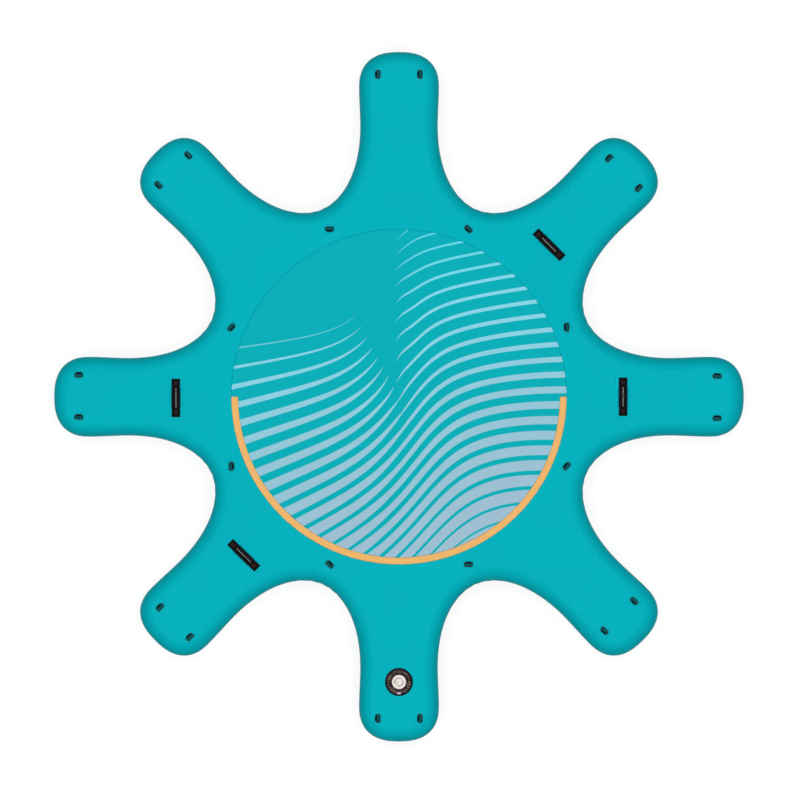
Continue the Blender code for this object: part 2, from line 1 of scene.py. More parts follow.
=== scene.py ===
"""Looks of the inflatable yoga platform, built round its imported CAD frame.

Metres, +Z up, in the CAD's own frame. The sections follow the platform as it is put
together: air chamber, drop threads, deck pad, tie-down rings, handles and air valve.
"""
import json
import math

import bmesh
import bpy
from mathutils import Matrix, Vector


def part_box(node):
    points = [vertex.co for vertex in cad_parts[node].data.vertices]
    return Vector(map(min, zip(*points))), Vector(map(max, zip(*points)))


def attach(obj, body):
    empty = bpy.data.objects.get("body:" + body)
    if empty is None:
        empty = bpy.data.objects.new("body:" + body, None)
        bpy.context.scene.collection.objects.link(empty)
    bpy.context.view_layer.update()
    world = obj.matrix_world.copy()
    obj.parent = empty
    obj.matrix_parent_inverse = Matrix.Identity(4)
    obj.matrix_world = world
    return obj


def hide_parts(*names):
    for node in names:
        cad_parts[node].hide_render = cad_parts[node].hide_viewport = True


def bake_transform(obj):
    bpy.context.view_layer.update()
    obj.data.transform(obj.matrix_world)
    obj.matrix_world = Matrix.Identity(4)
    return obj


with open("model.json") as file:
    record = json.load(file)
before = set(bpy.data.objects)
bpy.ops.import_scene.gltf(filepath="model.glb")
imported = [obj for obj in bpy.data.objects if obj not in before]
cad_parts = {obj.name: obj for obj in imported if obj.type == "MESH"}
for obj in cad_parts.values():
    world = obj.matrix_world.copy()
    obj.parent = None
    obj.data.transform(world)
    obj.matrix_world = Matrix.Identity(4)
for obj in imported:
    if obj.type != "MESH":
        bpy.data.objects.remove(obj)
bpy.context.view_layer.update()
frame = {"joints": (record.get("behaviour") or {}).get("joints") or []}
bpy.ops.object.select_all(action="DESELECT")

# Camera. It looks straight down on the deck, from so far away that upright edges don't
# lean. The place of the platform's middle in the picture and the scale set where it is.
PHOTO_SIZE = 800
PLATFORM_CENTRE_PX = (399.0, 396.75)
METRES_PER_PIXEL = 0.0042054
CAMERA_LENS_MM = 600.0
SENSOR_WIDTH_MM = 36.0

wall_low, wall_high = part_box("side_wall")
camera_distance = PHOTO_SIZE * METRES_PER_PIXEL * CAMERA_LENS_MM / SENSOR_WIDTH_MM
bpy.ops.object.camera_add(
    location=(
        (PHOTO_SIZE / 2.0 - PLATFORM_CENTRE_PX[0]) * METRES_PER_PIXEL,
        (PLATFORM_CENTRE_PX[1] - PHOTO_SIZE / 2.0) * METRES_PER_PIXEL,
        (wall_low.z + wall_high.z) / 2.0 + camera_distance,
    ),
    rotation=(0.0, 0.0, 0.0),
)
camera = bpy.context.object
camera.data.lens = CAMERA_LENS_MM
camera.data.sensor_width = SENSOR_WIDTH_MM
camera.data.clip_end = 2.0 * camera_distance
bpy.context.scene.camera = camera
bpy.context.scene.view_settings.view_transform = "Standard"

# Studio. Four broad lamps stand round the platform and share their light evenly, so its
# edge shades off alike all the way round, and a plain pale sky fills what they leave.
SKY_LEVEL = 0.15
LAMP_COUNT = 4
LAMP_HEIGHT = 4.0
LAMP_TILT = math.radians(36.0)
LAMP_SPREAD = math.radians(34.0)
FLOOR_SIZE = 60.0
FLOOR_Z = -0.001
FLOOR_PAINT = 0.12
BACKDROP_PAINT = 0.90
BACKDROP_GLOW = 1.10
BACKDROP_SHADE = 0.25


def feed(socket, value):
    """Give a node's input a value, which is another node's output or a plain value."""
    if isinstance(value, bpy.types.NodeSocket):
        socket.id_data.links.new(value, socket)
    else:
        socket.default_value = value


def calc(operation, *values):
    """A Math node that takes numbers and sockets, in order, beside the first of the sockets."""
    tree = next(value.id_data for value in values if isinstance(value, bpy.types.NodeSocket))
    node = tree.nodes.new("ShaderNodeMath")
    node.operation = operation
    for socket, value in zip(node.inputs, values):
        feed(socket, value)
    return node.outputs[0]


def just_made(name):
    """The piece that the last operator made, with a name given to it."""
    piece = bpy.context.object
    piece.name = name
    return piece


def seen_directly(tree):
    """1 for the camera and for what mirrors or glass show, 0 for plain light."""
    path = tree.nodes.new("ShaderNodeLightPath").outputs
    shown = calc("MAXIMUM", path["Is Camera Ray"], path["Is Glossy Ray"])
    return calc("MAXIMUM", shown, path["Is Transmission Ray"])


lamp_strength = (1.0 - SKY_LEVEL) * math.pi / (LAMP_COUNT * math.cos(LAMP_TILT))
for lamp_number in range(LAMP_COUNT):
    bpy.ops.object.light_add(
        type="SUN",
        location=(0.0, 0.0, LAMP_HEIGHT),
        rotation=(LAMP_TILT, 0.0, math.tau * (lamp_number + 0.5) / LAMP_COUNT),
    )
    lamp = bpy.context.object.data
    lamp.energy = lamp_strength
    lamp.angle = LAMP_SPREAD

sky = bpy.data.worlds.new("studio_sky")
sky.use_nodes = True
bpy.context.scene.world = sky
sky_light = sky.node_tree.nodes["Background"].inputs
feed(sky_light["Color"], (1.0, 1.0, 1.0, 1.0))
sky_seen = seen_directly(sky.node_tree)
feed(sky_light["Strength"], calc("MULTIPLY_ADD", sky_seen, 1.0 - SKY_LEVEL, SKY_LEVEL))

bpy.ops.mesh.primitive_plane_add(size=FLOOR_SIZE, location=(0.0, 0.0, FLOOR_Z))
floor = just_made("studio_floor")
floor_paint = bpy.data.materials.new("floor_paint")
floor_paint.use_nodes = True
tree = floor_paint.node_tree
tree.nodes.remove(tree.nodes["Principled BSDF"])
matt = tree.nodes.new("ShaderNodeBsdfDiffuse")
feed(matt.inputs["Color"], (FLOOR_PAINT, FLOOR_PAINT, FLOOR_PAINT, 1.0))
pale = tree.nodes.new("ShaderNodeBsdfDiffuse")
feed(pale.inputs["Color"], (BACKDROP_PAINT, BACKDROP_PAINT, BACKDROP_PAINT, 1.0))
glow = tree.nodes.new("ShaderNodeEmission")
feed(glow.inputs["Strength"], BACKDROP_GLOW)
backdrop = tree.nodes.new("ShaderNodeMixShader")
chosen = tree.nodes.new("ShaderNodeMixShader")
for mix, values in (
    (backdrop, (BACKDROP_SHADE, glow.outputs[0], pale.outputs[0])),
    (chosen, (seen_directly(tree), matt.outputs[0], backdrop.outputs[0])),
):
    for socket, value in zip(mix.inputs, values):
        feed(socket, value)
feed(tree.nodes["Material Output"].inputs["Surface"], chosen.outputs[0])
floor.data.materials.append(floor_paint)

# Side wall. One strip of PVC-coated cloth runs round the platform's edge, and the air
# blows it out to a half round. In the notches it has cloth to spare at half height,
# which stands in soft upright flutes.
ARM_COUNT = 8
ARM_REACH = 1.450
CHAMBER_THICKNESS = 0.150
SKIN_THICKNESS = 0.0015
WALL_BULGE = 0.055
WALL_LEVELS = 22
TIP_LENGTH = 0.150
TIP_HALF_WIDTH = 0.168
TIP_SQUARENESS = 2.45
TIP_STEPS = 20
NECK_FROM_TIP = 0.310
NECK_HALF_WIDTH = 0.163
NECK_STEPS = 6
NECK_PULL = 0.515
NOTCH_RADIUS = 0.853
NOTCH_PULL = 0.245
NOTCH_STEPS = 50
FLUTE_PITCH = 0.042
FLUTE_DEPTH = 0.0016
FLUTE_REACH = 0.16
FLUTE_SHIFT = 0.9
FLUTE_BELLY = 1.5
DOUBLED_POINTS = 0.000005
MID_Z = CHAMBER_THICKNESS / 2.0
ARM_PITCH = math.tau / ARM_COUNT
WALL_RADIUS = (MID_Z ** 2 + WALL_BULGE ** 2) / (2.0 * WALL_BULGE)
WALL_LEAN = math.asin(MID_Z / WALL_RADIUS)

DECK_TEAL = (0, 177, 189)
FABRIC_ROUGHNESS = 0.50
FABRIC_GLOSS = 0.03
FABRIC_THREADS = 0.0011
FABRIC_GRAIN_DEPTH = 0.00009
FABRIC_CONTRAST = 0.05
FABRIC_SLANT = 0.7
THREAD_SHARE = 0.30
SKIN_LUMPS = 900.0
CLOUD_LUMPS = 5.0
SPECK_LUMPS = 60.0
SPECK_SHARE = 0.35
ROUGHNESS_SPREAD = 0.16


def half_arm():
    """Points and outward normals from the end of the +X arm to the middle of its notch."""
    samples = []
    tip_x = ARM_REACH - TIP_LENGTH
    power = 2.0 / TIP_SQUARENESS
    for i in range(TIP_STEPS + 1):
        angle = math.pi / 2.0 * i / TIP_STEPS
        u = max(math.cos(angle), 0.0) ** power if i < TIP_STEPS else 0.0
        v = math.sin(angle) ** power
        normal = Vector((
            u ** (TIP_SQUARENESS - 1.0) / TIP_LENGTH,
            v ** (TIP_SQUARENESS - 1.0) / TIP_HALF_WIDTH,
        ))
        point = Vector((tip_x + TIP_LENGTH * u, TIP_HALF_WIDTH * v))
        samples.append((point, normal.normalized()))
    half_pitch = ARM_PITCH / 2.0
    neck = Vector((ARM_REACH - NECK_FROM_TIP, NECK_HALF_WIDTH))
    for i in range(1, NECK_STEPS):
        t = i / NECK_STEPS
        narrowing = TIP_HALF_WIDTH - NECK_HALF_WIDTH
        point = Vector((
            tip_x + (neck.x - tip_x) * t,
            TIP_HALF_WIDTH - narrowing * t * t * (3.0 - 2.0 * t),
        ))
        normal = Vector((-narrowing * 6.0 * t * (1.0 - t), tip_x - neck.x))
        samples.append((point, normal.normalized()))
    notch = Vector((math.cos(half_pitch), math.sin(half_pitch))) * NOTCH_RADIUS
    notch_run = Vector((-math.sin(half_pitch), math.cos(half_pitch)))
    span = (notch - neck).length
    handle_a = neck + Vector((-NECK_PULL * span, 0.0))
    handle_b = notch - notch_run * (NOTCH_PULL * span)
    for i in range(NOTCH_STEPS + 1):
        t = i / NOTCH_STEPS
        s = 1.0 - t
        point = s ** 3 * neck + 3 * s * s * t * handle_a + 3 * s * t * t * handle_b + t ** 3 * notch
        run = s * s * (handle_a - neck) + 2 * s * t * (handle_b - handle_a) + t * t * (notch - handle_b)
        samples.append((point, Vector((run.y, -run.x)).normalized()))
    return samples


def star_samples():
    """Points and outward normals all round the platform, anticlockwise."""
    upper = half_arm()
    lower = [
        (Vector((point.x, -point.y)), Vector((normal.x, -normal.y)))
        for point, normal in reversed(upper[1:-1])
    ]
    samples = []
    for arm in range(ARM_COUNT):
        turn = Matrix.Rotation(arm * ARM_PITCH, 2)
        samples += [(turn @ point, turn @ normal) for point, normal in lower + upper]
    return samples


STAR = star_samples()


def wall_point(lift, angle):
    """(inset, z) on the blown-out wall, at an angle above half height, lifted off it."""
    radius = WALL_RADIUS + lift
    return WALL_RADIUS - radius * math.cos(angle), MID_Z + radius * math.sin(angle)


def select_only(piece, *others):
    """Select one piece, and others with it, and make it the active one."""
    bpy.ops.object.select_all(action="DESELECT")
    for chosen_piece in (piece, *others):
        chosen_piece.select_set(True)
    bpy.context.view_layer.objects.active = piece


def open_edit(piece, action="DESELECT"):
    """Start editing one piece alone, with nothing in it selected, or with everything."""
    select_only(piece)
    bpy.ops.object.mode_set(mode="EDIT")
    bpy.ops.mesh.select_all(action=action)


def close_edit():
    """Go back to whole objects."""
    bpy.ops.object.mode_set(mode="OBJECT")


def pick(piece, kind, wanted):
    """Select the vertices, edges or faces of the edited piece that pass a test."""
    bpy.ops.mesh.select_all(action="DESELECT")
    bpy.ops.mesh.select_mode(type=kind)
    shape = bmesh.from_edit_mesh(piece.data)
    for part in {"VERT": shape.verts, "EDGE": shape.edges, "FACE": shape.faces}[kind]:
        if wanted(part):
            part.select_set(True)
    bmesh.update_edit_mesh(piece.data)


def apply_modifiers(piece):
    """Turn a piece's modifiers into its mesh."""
    select_only(piece)
    for modifier in list(piece.modifiers):
        bpy.ops.object.modifier_apply(modifier=modifier.name)


def give_wall(piece, thickness, offset=-1.0):
    """Give an open surface its thickness, inwards from its outer face."""
    solidify = piece.modifiers.new("Thickness", "SOLIDIFY")
    solidify.thickness = thickness
    solidify.offset = offset
    solidify.use_even_offset = True
    apply_modifiers(piece)


def smooth_shade(piece, angle_degrees=35.0):
    """Shade a piece smooth, but keep its true edges."""
    select_only(piece)
    bpy.ops.object.shade_smooth_by_angle(angle=math.radians(angle_degrees))


def open_cylinder(name, sides, levels):
    """An open upright cylinder of radius 1 and height 1, cut into levels."""
    bpy.ops.mesh.primitive_cylinder_add(
        vertices=sides, radius=1.0, depth=1.0, end_fill_type="NOTHING",
    )
    cylinder = just_made(name)
    if levels > 1:
        open_edit(cylinder)
        pick(cylinder, "EDGE", lambda edge: abs(edge.verts[0].co.z - edge.verts[1].co.z) > 0.5)
        bpy.ops.mesh.subdivide(number_cuts=levels - 1)
        close_edit()
    return cylinder


def star_band(name, section):
    """A strip right round the platform through (inset, z) points, top to bottom."""
    count = len(STAR)
    levels = len(section) - 1
    band = open_cylinder(name, count, levels)
    for vertex in band.data.vertices:
        x, y, z = vertex.co
        point, normal = STAR[round(math.atan2(y, x) / math.tau * count) % count]
        inset, height = section[round((0.5 - z) * levels)]
        place = point - normal * inset
        vertex.co = (place.x, place.y, height)
    return band


def display_colour(shade, tone=1.0):
    """Linear colour from the 0 to 255 values of a display, made darker or lighter by a tone."""
    linear = []
    for value in shade:
        share = value / 255.0
        linear.append(share / 12.92 if share <= 0.04045 else ((share + 0.055) / 1.055) ** 2.4)
    return (*(tone * value for value in linear), 1.0)


def new_finish(name, roughness, gloss, metallic=0.0, coordinates="Object"):
    """A material, its Principled shader's inputs and the coordinates that its pattern reads."""
    finish = bpy.data.materials.new(name)
    finish.use_nodes = True
    shader = finish.node_tree.nodes["Principled BSDF"].inputs
    feed(shader["Roughness"], roughness)
    feed(shader["Specular IOR Level"], gloss)
    feed(shader["Metallic"], metallic)
    return finish, shader, finish.node_tree.nodes.new("ShaderNodeTexCoord").outputs[coordinates]


def split_axes(place):
    """The X, Y and Z of a place."""
    axes = place.id_data.nodes.new("ShaderNodeSeparateXYZ")
    feed(axes.inputs[0], place)
    return axes.outputs


def blend_colours(share, first, second, blend_type="MIX"):
    """Mix two colours, each a socket or a linear colour, by a share from 0 to 1."""
    tree = next(v.id_data for v in (share, first) if isinstance(v, bpy.types.NodeSocket))
    mix = tree.nodes.new("ShaderNodeMix")
    mix.data_type = "RGBA"
    mix.blend_type = blend_type
    for socket, value in ((mix.inputs[0], share), (mix.inputs[6], first), (mix.inputs[7], second)):
        feed(socket, value)
    return mix.outputs[2]


def noise(vector, scale, detail=2.0):
    """Noise between 0 and 1, with about so many lumps to the metre."""
    node = vector.id_data.nodes.new("ShaderNodeTexNoise")
    feed(node.inputs["Scale"], scale)
    feed(node.inputs["Detail"], detail)
    feed(node.inputs["Vector"], vector)
    return node.outputs[0]


def new_effect(name, inputs, outputs):
    """An empty node group that takes a vector and numbers, and its own ends."""
    group = bpy.data.node_groups.new(name, "ShaderNodeTree")
    for ends, socket_names in (("INPUT", ("Vector", *inputs)), ("OUTPUT", outputs)):
        for socket_name in socket_names:
            kind = "Vector" if socket_name in ("Vector", "Normal") else "Float"
            group.interface.new_socket(socket_name, in_out=ends, socket_type="NodeSocket" + kind)
    return group, group.nodes.new("NodeGroupInput").outputs, group.nodes.new("NodeGroupOutput").inputs


def use_effect(group, vector, **values):
    """Place a node group in a material, fed by a vector and plain values."""
    node = vector.id_data.nodes.new("ShaderNodeGroup")
    node.node_tree = group
    feed(node.inputs["Vector"], vector)
    for name, value in values.items():
        feed(node.inputs[name.replace("_", " ").title()], value)
    return node.outputs


def paint(shader, share, first, second, contrast=0.0):
    """Colour a finish between two display colours by a share, set further apart by a contrast."""
    dark, light = display_colour(first, 1.0 - contrast), display_colour(second, 1.0 + contrast)
    feed(shader["Base Color"], blend_colours(share, dark, light))


def bump(height, distance):
    """A Bump node's normal, from a height between 0 and 1 and its depth in metres."""
    node = height.id_data.nodes.new("ShaderNodeBump")
    feed(node.inputs["Height"], height)
    feed(node.inputs["Distance"], distance)
    return node.outputs["Normal"]


def fabric_grain():
    """Coated cloth: the threads show faintly through the skin, with a cloudy tone."""
    group, start, end = new_effect(
        "coated_fabric_grain", ("Thread Pitch", "Depth", "Mean Roughness"),
        ("Tone", "Roughness", "Normal"),
    )
    place = start["Vector"]
    x, y, z = split_axes(place)
    rate = calc("DIVIDE", math.tau, start["Thread Pitch"])
    warp = calc("SINE", calc("MULTIPLY", calc("MULTIPLY_ADD", z, FABRIC_SLANT, x), rate))
    weft = calc("SINE", calc("MULTIPLY", calc("MULTIPLY_ADD", z, -FABRIC_SLANT, y), rate))
    height = calc("MULTIPLY_ADD", calc("MULTIPLY", warp, weft), THREAD_SHARE, noise(place, SKIN_LUMPS))
    clouds = noise(place, CLOUD_LUMPS, detail=4.0)
    cloudy = calc("MULTIPLY", clouds, 1.0 - SPECK_SHARE)
    feed(end["Tone"], calc("MULTIPLY_ADD", noise(place, SPECK_LUMPS, detail=3.0), SPECK_SHARE, cloudy))
    uneven = calc("SUBTRACT", clouds, 0.5)
    feed(end["Roughness"], calc("MULTIPLY_ADD", uneven, ROUGHNESS_SPREAD, start["Mean Roughness"]))
    feed(end["Normal"], bump(height, start["Depth"]))
    return group


FABRIC_GRAIN = fabric_grain()


def coated_fabric(name, shade):
    """PVC-coated cloth in one colour, a touch darker and lighter in places."""
    finish, shader, place = new_finish(name, FABRIC_ROUGHNESS, FABRIC_GLOSS)
    grain = use_effect(
        FABRIC_GRAIN, place, thread_pitch=FABRIC_THREADS, depth=FABRIC_GRAIN_DEPTH,
        mean_roughness=FABRIC_ROUGHNESS,
    )
    paint(shader, grain["Tone"], shade, shade, FABRIC_CONTRAST)
    feed(shader["Roughness"], grain["Roughness"])
    feed(shader["Normal"], grain["Normal"])
    return finish


def finish_piece(piece, finish, body, node=None):
    """Give a piece its material, unless that is None, and its body, and hide the CAD node it stands in
    for.
    """
    if finish:
        piece.data.materials.clear()
        piece.data.materials.append(finish)
    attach(piece, body)
    if node:
        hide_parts(node)


wall_section = [
    wall_point(0.0, WALL_LEAN * (1.0 - 2.0 * level / WALL_LEVELS)) for level in range(WALL_LEVELS + 1)
]
side_wall = star_band("platform_side_wall", wall_section)
for vertex in side_wall.data.vertices:
    flat = Vector((vertex.co.x, vertex.co.y))
    sector = round(math.atan2(flat.y, flat.x) / ARM_PITCH - 0.5)
    notch_angle = (sector + 0.5) * ARM_PITCH
    from_notch = flat - Vector((math.cos(notch_angle), math.sin(notch_angle))) * NOTCH_RADIUS
    if from_notch.length < FLUTE_REACH:
        sideways = from_notch.dot(Vector((-math.sin(notch_angle), math.cos(notch_angle))))
        fade = (1.0 - (from_notch.length / FLUTE_REACH) ** 2) ** 2
        belly = max(0.0, 1.0 - ((vertex.co.z - MID_Z) / MID_Z) ** 2) ** FLUTE_BELLY
        wave = 0.5 - 0.5 * math.cos(math.tau * sideways / FLUTE_PITCH + FLUTE_SHIFT * sector)
        inwards = -vertex.normal * (FLUTE_DEPTH * fade * belly * wave)
        vertex.co += inwards
give_wall(side_wall, SKIN_THICKNESS)
smooth_shade(side_wall, 60.0)
WALL_FABRIC = coated_fabric("wall_fabric", DECK_TEAL)
finish_piece(side_wall, WALL_FABRIC, "platform", "side_wall")

# Deck and underside. Two flat sheets of the same coated cloth, cut to the platform's
# shape. The deck sheet has a round hole in one arm for the barrel of the air valve.
SHEET_INSET = 0.0556
VALVE_REACH = 1.198
BARREL_HOLE = 0.0230
BARREL_HOLE_STEPS = 64
UNDERSIDE_LIFT = 0.0006
VALVE_X = 0.0
VALVE_Y = -VALVE_REACH


def settle(piece):
    """Put a piece's place, turn and size into its mesh."""
    piece.data.transform(piece.matrix_basis)
    piece.matrix_basis = Matrix.Identity(4)


def star_sheet(name, outer_z, downwards, hole):
    """A flat sheet in the platform's outline; hole is a radius at the valve, or None."""
    count = len(STAR)
    bpy.ops.mesh.primitive_circle_add(vertices=count, radius=1.0, fill_type="NOTHING")
    sheet = just_made(name)
    for vertex in sheet.data.vertices:
        index = round(math.atan2(vertex.co.y, vertex.co.x) / math.tau * count) % count
        point, normal = STAR[index]
        place = point - normal * SHEET_INSET
        vertex.co = (place.x, place.y, 0.0)
    open_edit(sheet)
    if hole:
        bpy.ops.mesh.primitive_circle_add(
            vertices=BARREL_HOLE_STEPS, radius=hole, location=(VALVE_X, VALVE_Y, 0.0),
        )
    bpy.ops.mesh.select_all(action="SELECT")
    bpy.ops.mesh.fill(use_beauty=True)
    bpy.ops.mesh.select_all(action="SELECT")
    bpy.ops.mesh.normals_make_consistent(inside=False)
    close_edit()
    if (sheet.data.polygons[0].normal.z < 0.0) != downwards:
        sheet.data.flip_normals()
    sheet.location.z = outer_z
    settle(sheet)
    give_wall(sheet, SKIN_THICKNESS)
    return sheet


deck_sheet = star_sheet("deck_sheet", CHAMBER_THICKNESS, False, BARREL_HOLE)
DECK_FABRIC = coated_fabric("deck_fabric", DECK_TEAL)
finish_piece(deck_sheet, DECK_FABRIC, "platform", "top_skin")
underside_sheet = star_sheet("underside_sheet", UNDERSIDE_LIFT, True, None)
UNDERSIDE_FABRIC = coated_fabric("underside_fabric", DECK_TEAL)
finish_piece(underside_sheet, UNDERSIDE_FABRIC, "platform", "bottom_skin")

# Seam tapes. A narrow tape of the same cloth is welded over the joint between wall and
# deck, and another one under the platform, so that neither joint leaks.
TAPE_ON_SHEET = 0.013
TAPE_THICKNESS = 0.0005
TAPE_ON_WALL = math.radians(13.0)
TAPE_STEPS = 5
TAPE_WALL_SHARE = 0.8
TAPE_LIFT = 0.00005
SEAM_LAP = 0.0004
wall_edge = WALL_BULGE - SEAM_LAP
tape_on_wall = [
    wall_point(TAPE_THICKNESS, WALL_LEAN - TAPE_ON_WALL * step / TAPE_STEPS)
    for step in range(1, TAPE_STEPS + 1)
]
tape_on_deck = [
    (wall_edge + TAPE_ON_SHEET, CHAMBER_THICKNESS + TAPE_LIFT),
    (wall_edge + TAPE_ON_SHEET - TAPE_THICKNESS, CHAMBER_THICKNESS + TAPE_THICKNESS),
    (wall_edge, CHAMBER_THICKNESS + TAPE_THICKNESS),
]
upper_tape_section = tape_on_deck + tape_on_wall
lower_tape_section = [
    (inset, max(CHAMBER_THICKNESS - height, 0.0)) for inset, height in reversed(upper_tape_section)
]
for tape_name, tape_section in (
    ("deck_seam_tape", upper_tape_section), ("underside_seam_tape", lower_tape_section),
):
    tape = star_band(tape_name, tape_section)
    give_wall(tape, TAPE_WALL_SHARE * TAPE_THICKNESS)
    smooth_shade(tape, 25.0)
    finish_piece(tape, WALL_FABRIC, "platform")

# Drop threads. Polyester threads tie the deck sheet to the underside sheet everywhere,
# and hold both flat against the air. They are woven in with the sheets.
THREAD_PITCH = 0.025
THREAD_RADIUS = 0.0004
THREAD_SIDES = 3
THREAD_MARGIN = 0.075
THREADS_A_SIDE = 112
POCKET_CLEARANCE = 0.034
THREAD_WHITE = (222, 220, 212)
THREAD_SHADED = 0.8
THREAD_TWISTS = 400.0
TWIST_DEPTH = 0.0001


def inside_star(x, y, margin):
    """Whether a place lies within the platform's outline, at least margin from it."""
    place = Vector((x, y))
    point, normal = min(STAR, key=lambda sample: (sample[0] - place).length_squared)
    return (place - point).dot(normal) < -margin


thread_low = UNDERSIDE_LIFT + SKIN_THICKNESS
thread_high = CHAMBER_THICKNESS - SKIN_THICKNESS
first = -THREAD_PITCH * (THREADS_A_SIDE - 1) / 2.0
bpy.ops.mesh.primitive_cylinder_add(
    vertices=THREAD_SIDES,
    radius=THREAD_RADIUS,
    depth=thread_high - thread_low,
    location=(first, first, (thread_low + thread_high) / 2.0),
)
threads = just_made("drop_threads")
settle(threads)
for axis in range(2):
    rows = threads.modifiers.new("Rows", "ARRAY")
    rows.count = THREADS_A_SIDE
    rows.use_relative_offset = False
    rows.use_constant_offset = True
    rows.constant_offset_displace = [THREAD_PITCH if n == axis else 0.0 for n in range(3)]
apply_modifiers(threads)
kept_cells = {}
for row in range(THREADS_A_SIDE):
    for column in range(THREADS_A_SIDE):
        x = first + THREAD_PITCH * column
        y = first + THREAD_PITCH * row
        in_pocket = math.hypot(x - VALVE_X, y - VALVE_Y) < POCKET_CLEARANCE
        kept_cells[(column, row)] = not in_pocket and inside_star(x, y, THREAD_MARGIN)
open_edit(threads)
pick(
    threads, "VERT",
    lambda vertex: not kept_cells[(
        round((vertex.co.x - first) / THREAD_PITCH), round((vertex.co.y - first) / THREAD_PITCH),
    )],
)
bpy.ops.mesh.delete(type="VERT")
close_edit()
thread_finish, shader, place = new_finish("thread_polyester", roughness=0.8, gloss=0.3)
twist = noise(place, THREAD_TWISTS)
shaded_thread = display_colour(THREAD_WHITE, THREAD_SHADED)
feed(shader["Base Color"], blend_colours(twist, shaded_thread, display_colour(THREAD_WHITE)))
feed(shader["Normal"], bump(twist, TWIST_DEPTH))
finish_piece(threads, thread_finish, "platform", "drop_stitch_core")

# Deck pad. A thin EVA foam mat is glued on the middle of the deck. It is printed with wavy
# stripes, thick and lavender at the bottom, thin and pale cyan at the top.
PAD_RADIUS = 0.704
PAD_THICKNESS = 0.005
PAD_LOW = 0.1503
PAD_STEPS = 384
PAD_ROUND = 0.003
ROUND_STEPS = 4
FEW_ROUND_STEPS = 2
TRIM_WIDTH = 0.028
TRIM_GAP = 0.0003
FLAT_MARGIN = 0.001
HALVES_OVERLAP = 0.001
FLAT_WITHIN = math.radians(0.3)
LEVEL_WITHIN = 0.00001
LEVEL_NORMAL = 0.99
UPRIGHT_NORMAL = 0.01
SHARP_EDGE = 1.0
LARGE_FACE = 0.1
PEBBLE_CELLS = 550.0
PEBBLE_LUMPS = 260.0
PEBBLE_CLOUDS = 7.0
PEBBLE_DEPTH = 0.00012
PEBBLE_CONTRAST = 0.05
PEBBLE_CLOUD_SHARE = 0.6
PEBBLE_CELL_SHARE = 0.7
PAD_TEAL = (0, 174, 184)
STRIPE_TINTS = (
    (0.00, (100, 216, 232)),
    (0.17, (132, 216, 234)),
    (0.44, (141, 208, 226)),
    (0.61, (148, 199, 216)),
    (1.00, (158, 191, 210)),
)
STRIPE_PITCH = 0.0618
PITCH_SLOPE = 0.012
PITCH_BOW = 0.022
STRIPE_SHIFT = 1.13
STRIPE_SLOPE = 0.268
STRIPE_BOW = 0.143
SWELL_HEIGHT = 0.177
SWELL_REACH = 0.20
SWELL_NARROWS = 0.12
SWELL_LEAN = 0.18
SWELL_FROM_MIDDLE = 0.002
RIDGE_HEIGHT = 0.36
RIDGE_TOP = 0.61
RIDGE_WIDTH = 0.052
RIDGE_FROM_MIDDLE = 0.01
LEFT_WIDTHS = ((0.047, 0.61), (0.10, 0.95))
RIGHT_WIDTHS = ((0.048, 0.30), (0.02, 0.32))
LEFT_TAPER = 0.07
RIGHT_TAPER = 0.05
TAPER_GAIN = 1.1
LEFT_ENDS = (0.0225, 0.025)
LEFT_END_MOST = 0.05
RIGHT_ENDS = (-0.1, -0.014)
STRIPE_EDGE = 0.03
FIRST_STRIPE = -8.0
LAST_STRIPE = 10.0
LEFT_TINT_RATE = 2.8
LEFT_TINT_START = 0.1
LEFT_TINT_LEVELS = 6.0


def foam_pebble():
    """EVA foam: a fine brushed pebble, and cells that open here and there."""
    group, start, end = new_effect("foam_pebble", ("Depth",), ("Tone", "Normal"))
    place = start["Vector"]
    cells = group.nodes.new("ShaderNodeTexVoronoi")
    feed(cells.inputs["Scale"], PEBBLE_CELLS)
    feed(cells.inputs["Vector"], place)
    brushed = noise(place, PEBBLE_LUMPS, detail=3.0)
    clouds = noise(place, PEBBLE_CLOUDS, detail=4.0)
    brushed_share = calc("MULTIPLY", brushed, 1.0 - PEBBLE_CLOUD_SHARE)
    feed(end["Tone"], calc("MULTIPLY_ADD", clouds, PEBBLE_CLOUD_SHARE, brushed_share))
    height = calc("MULTIPLY_ADD", cells.outputs["Distance"], PEBBLE_CELL_SHARE, brushed)
    feed(end["Normal"], bump(height, start["Depth"]))
    return group


FOAM_PEBBLE = foam_pebble()


def foam_tone(place, shader, depth=PEBBLE_DEPTH):
    """Give a finish the pebble of foam, and return where it is darker and lighter."""
    pebble = use_effect(FOAM_PEBBLE, place, depth=depth)
    feed(shader["Normal"], pebble["Normal"])
    return pebble["Tone"]


def clamped(result):
    """Keep the result of a Math node between 0 and 1."""
    result.node.use_clamp = True
    return result


def faded_end(distance, softness):
    """Width left at a distance from a stripe's pointed end, as a share of its full width."""
    past_end = calc("MAXIMUM", distance, 0.0)
    share = calc("DIVIDE", past_end, calc("ADD", past_end, softness))
    return clamped(calc("MULTIPLY", share, TAPER_GAIN))


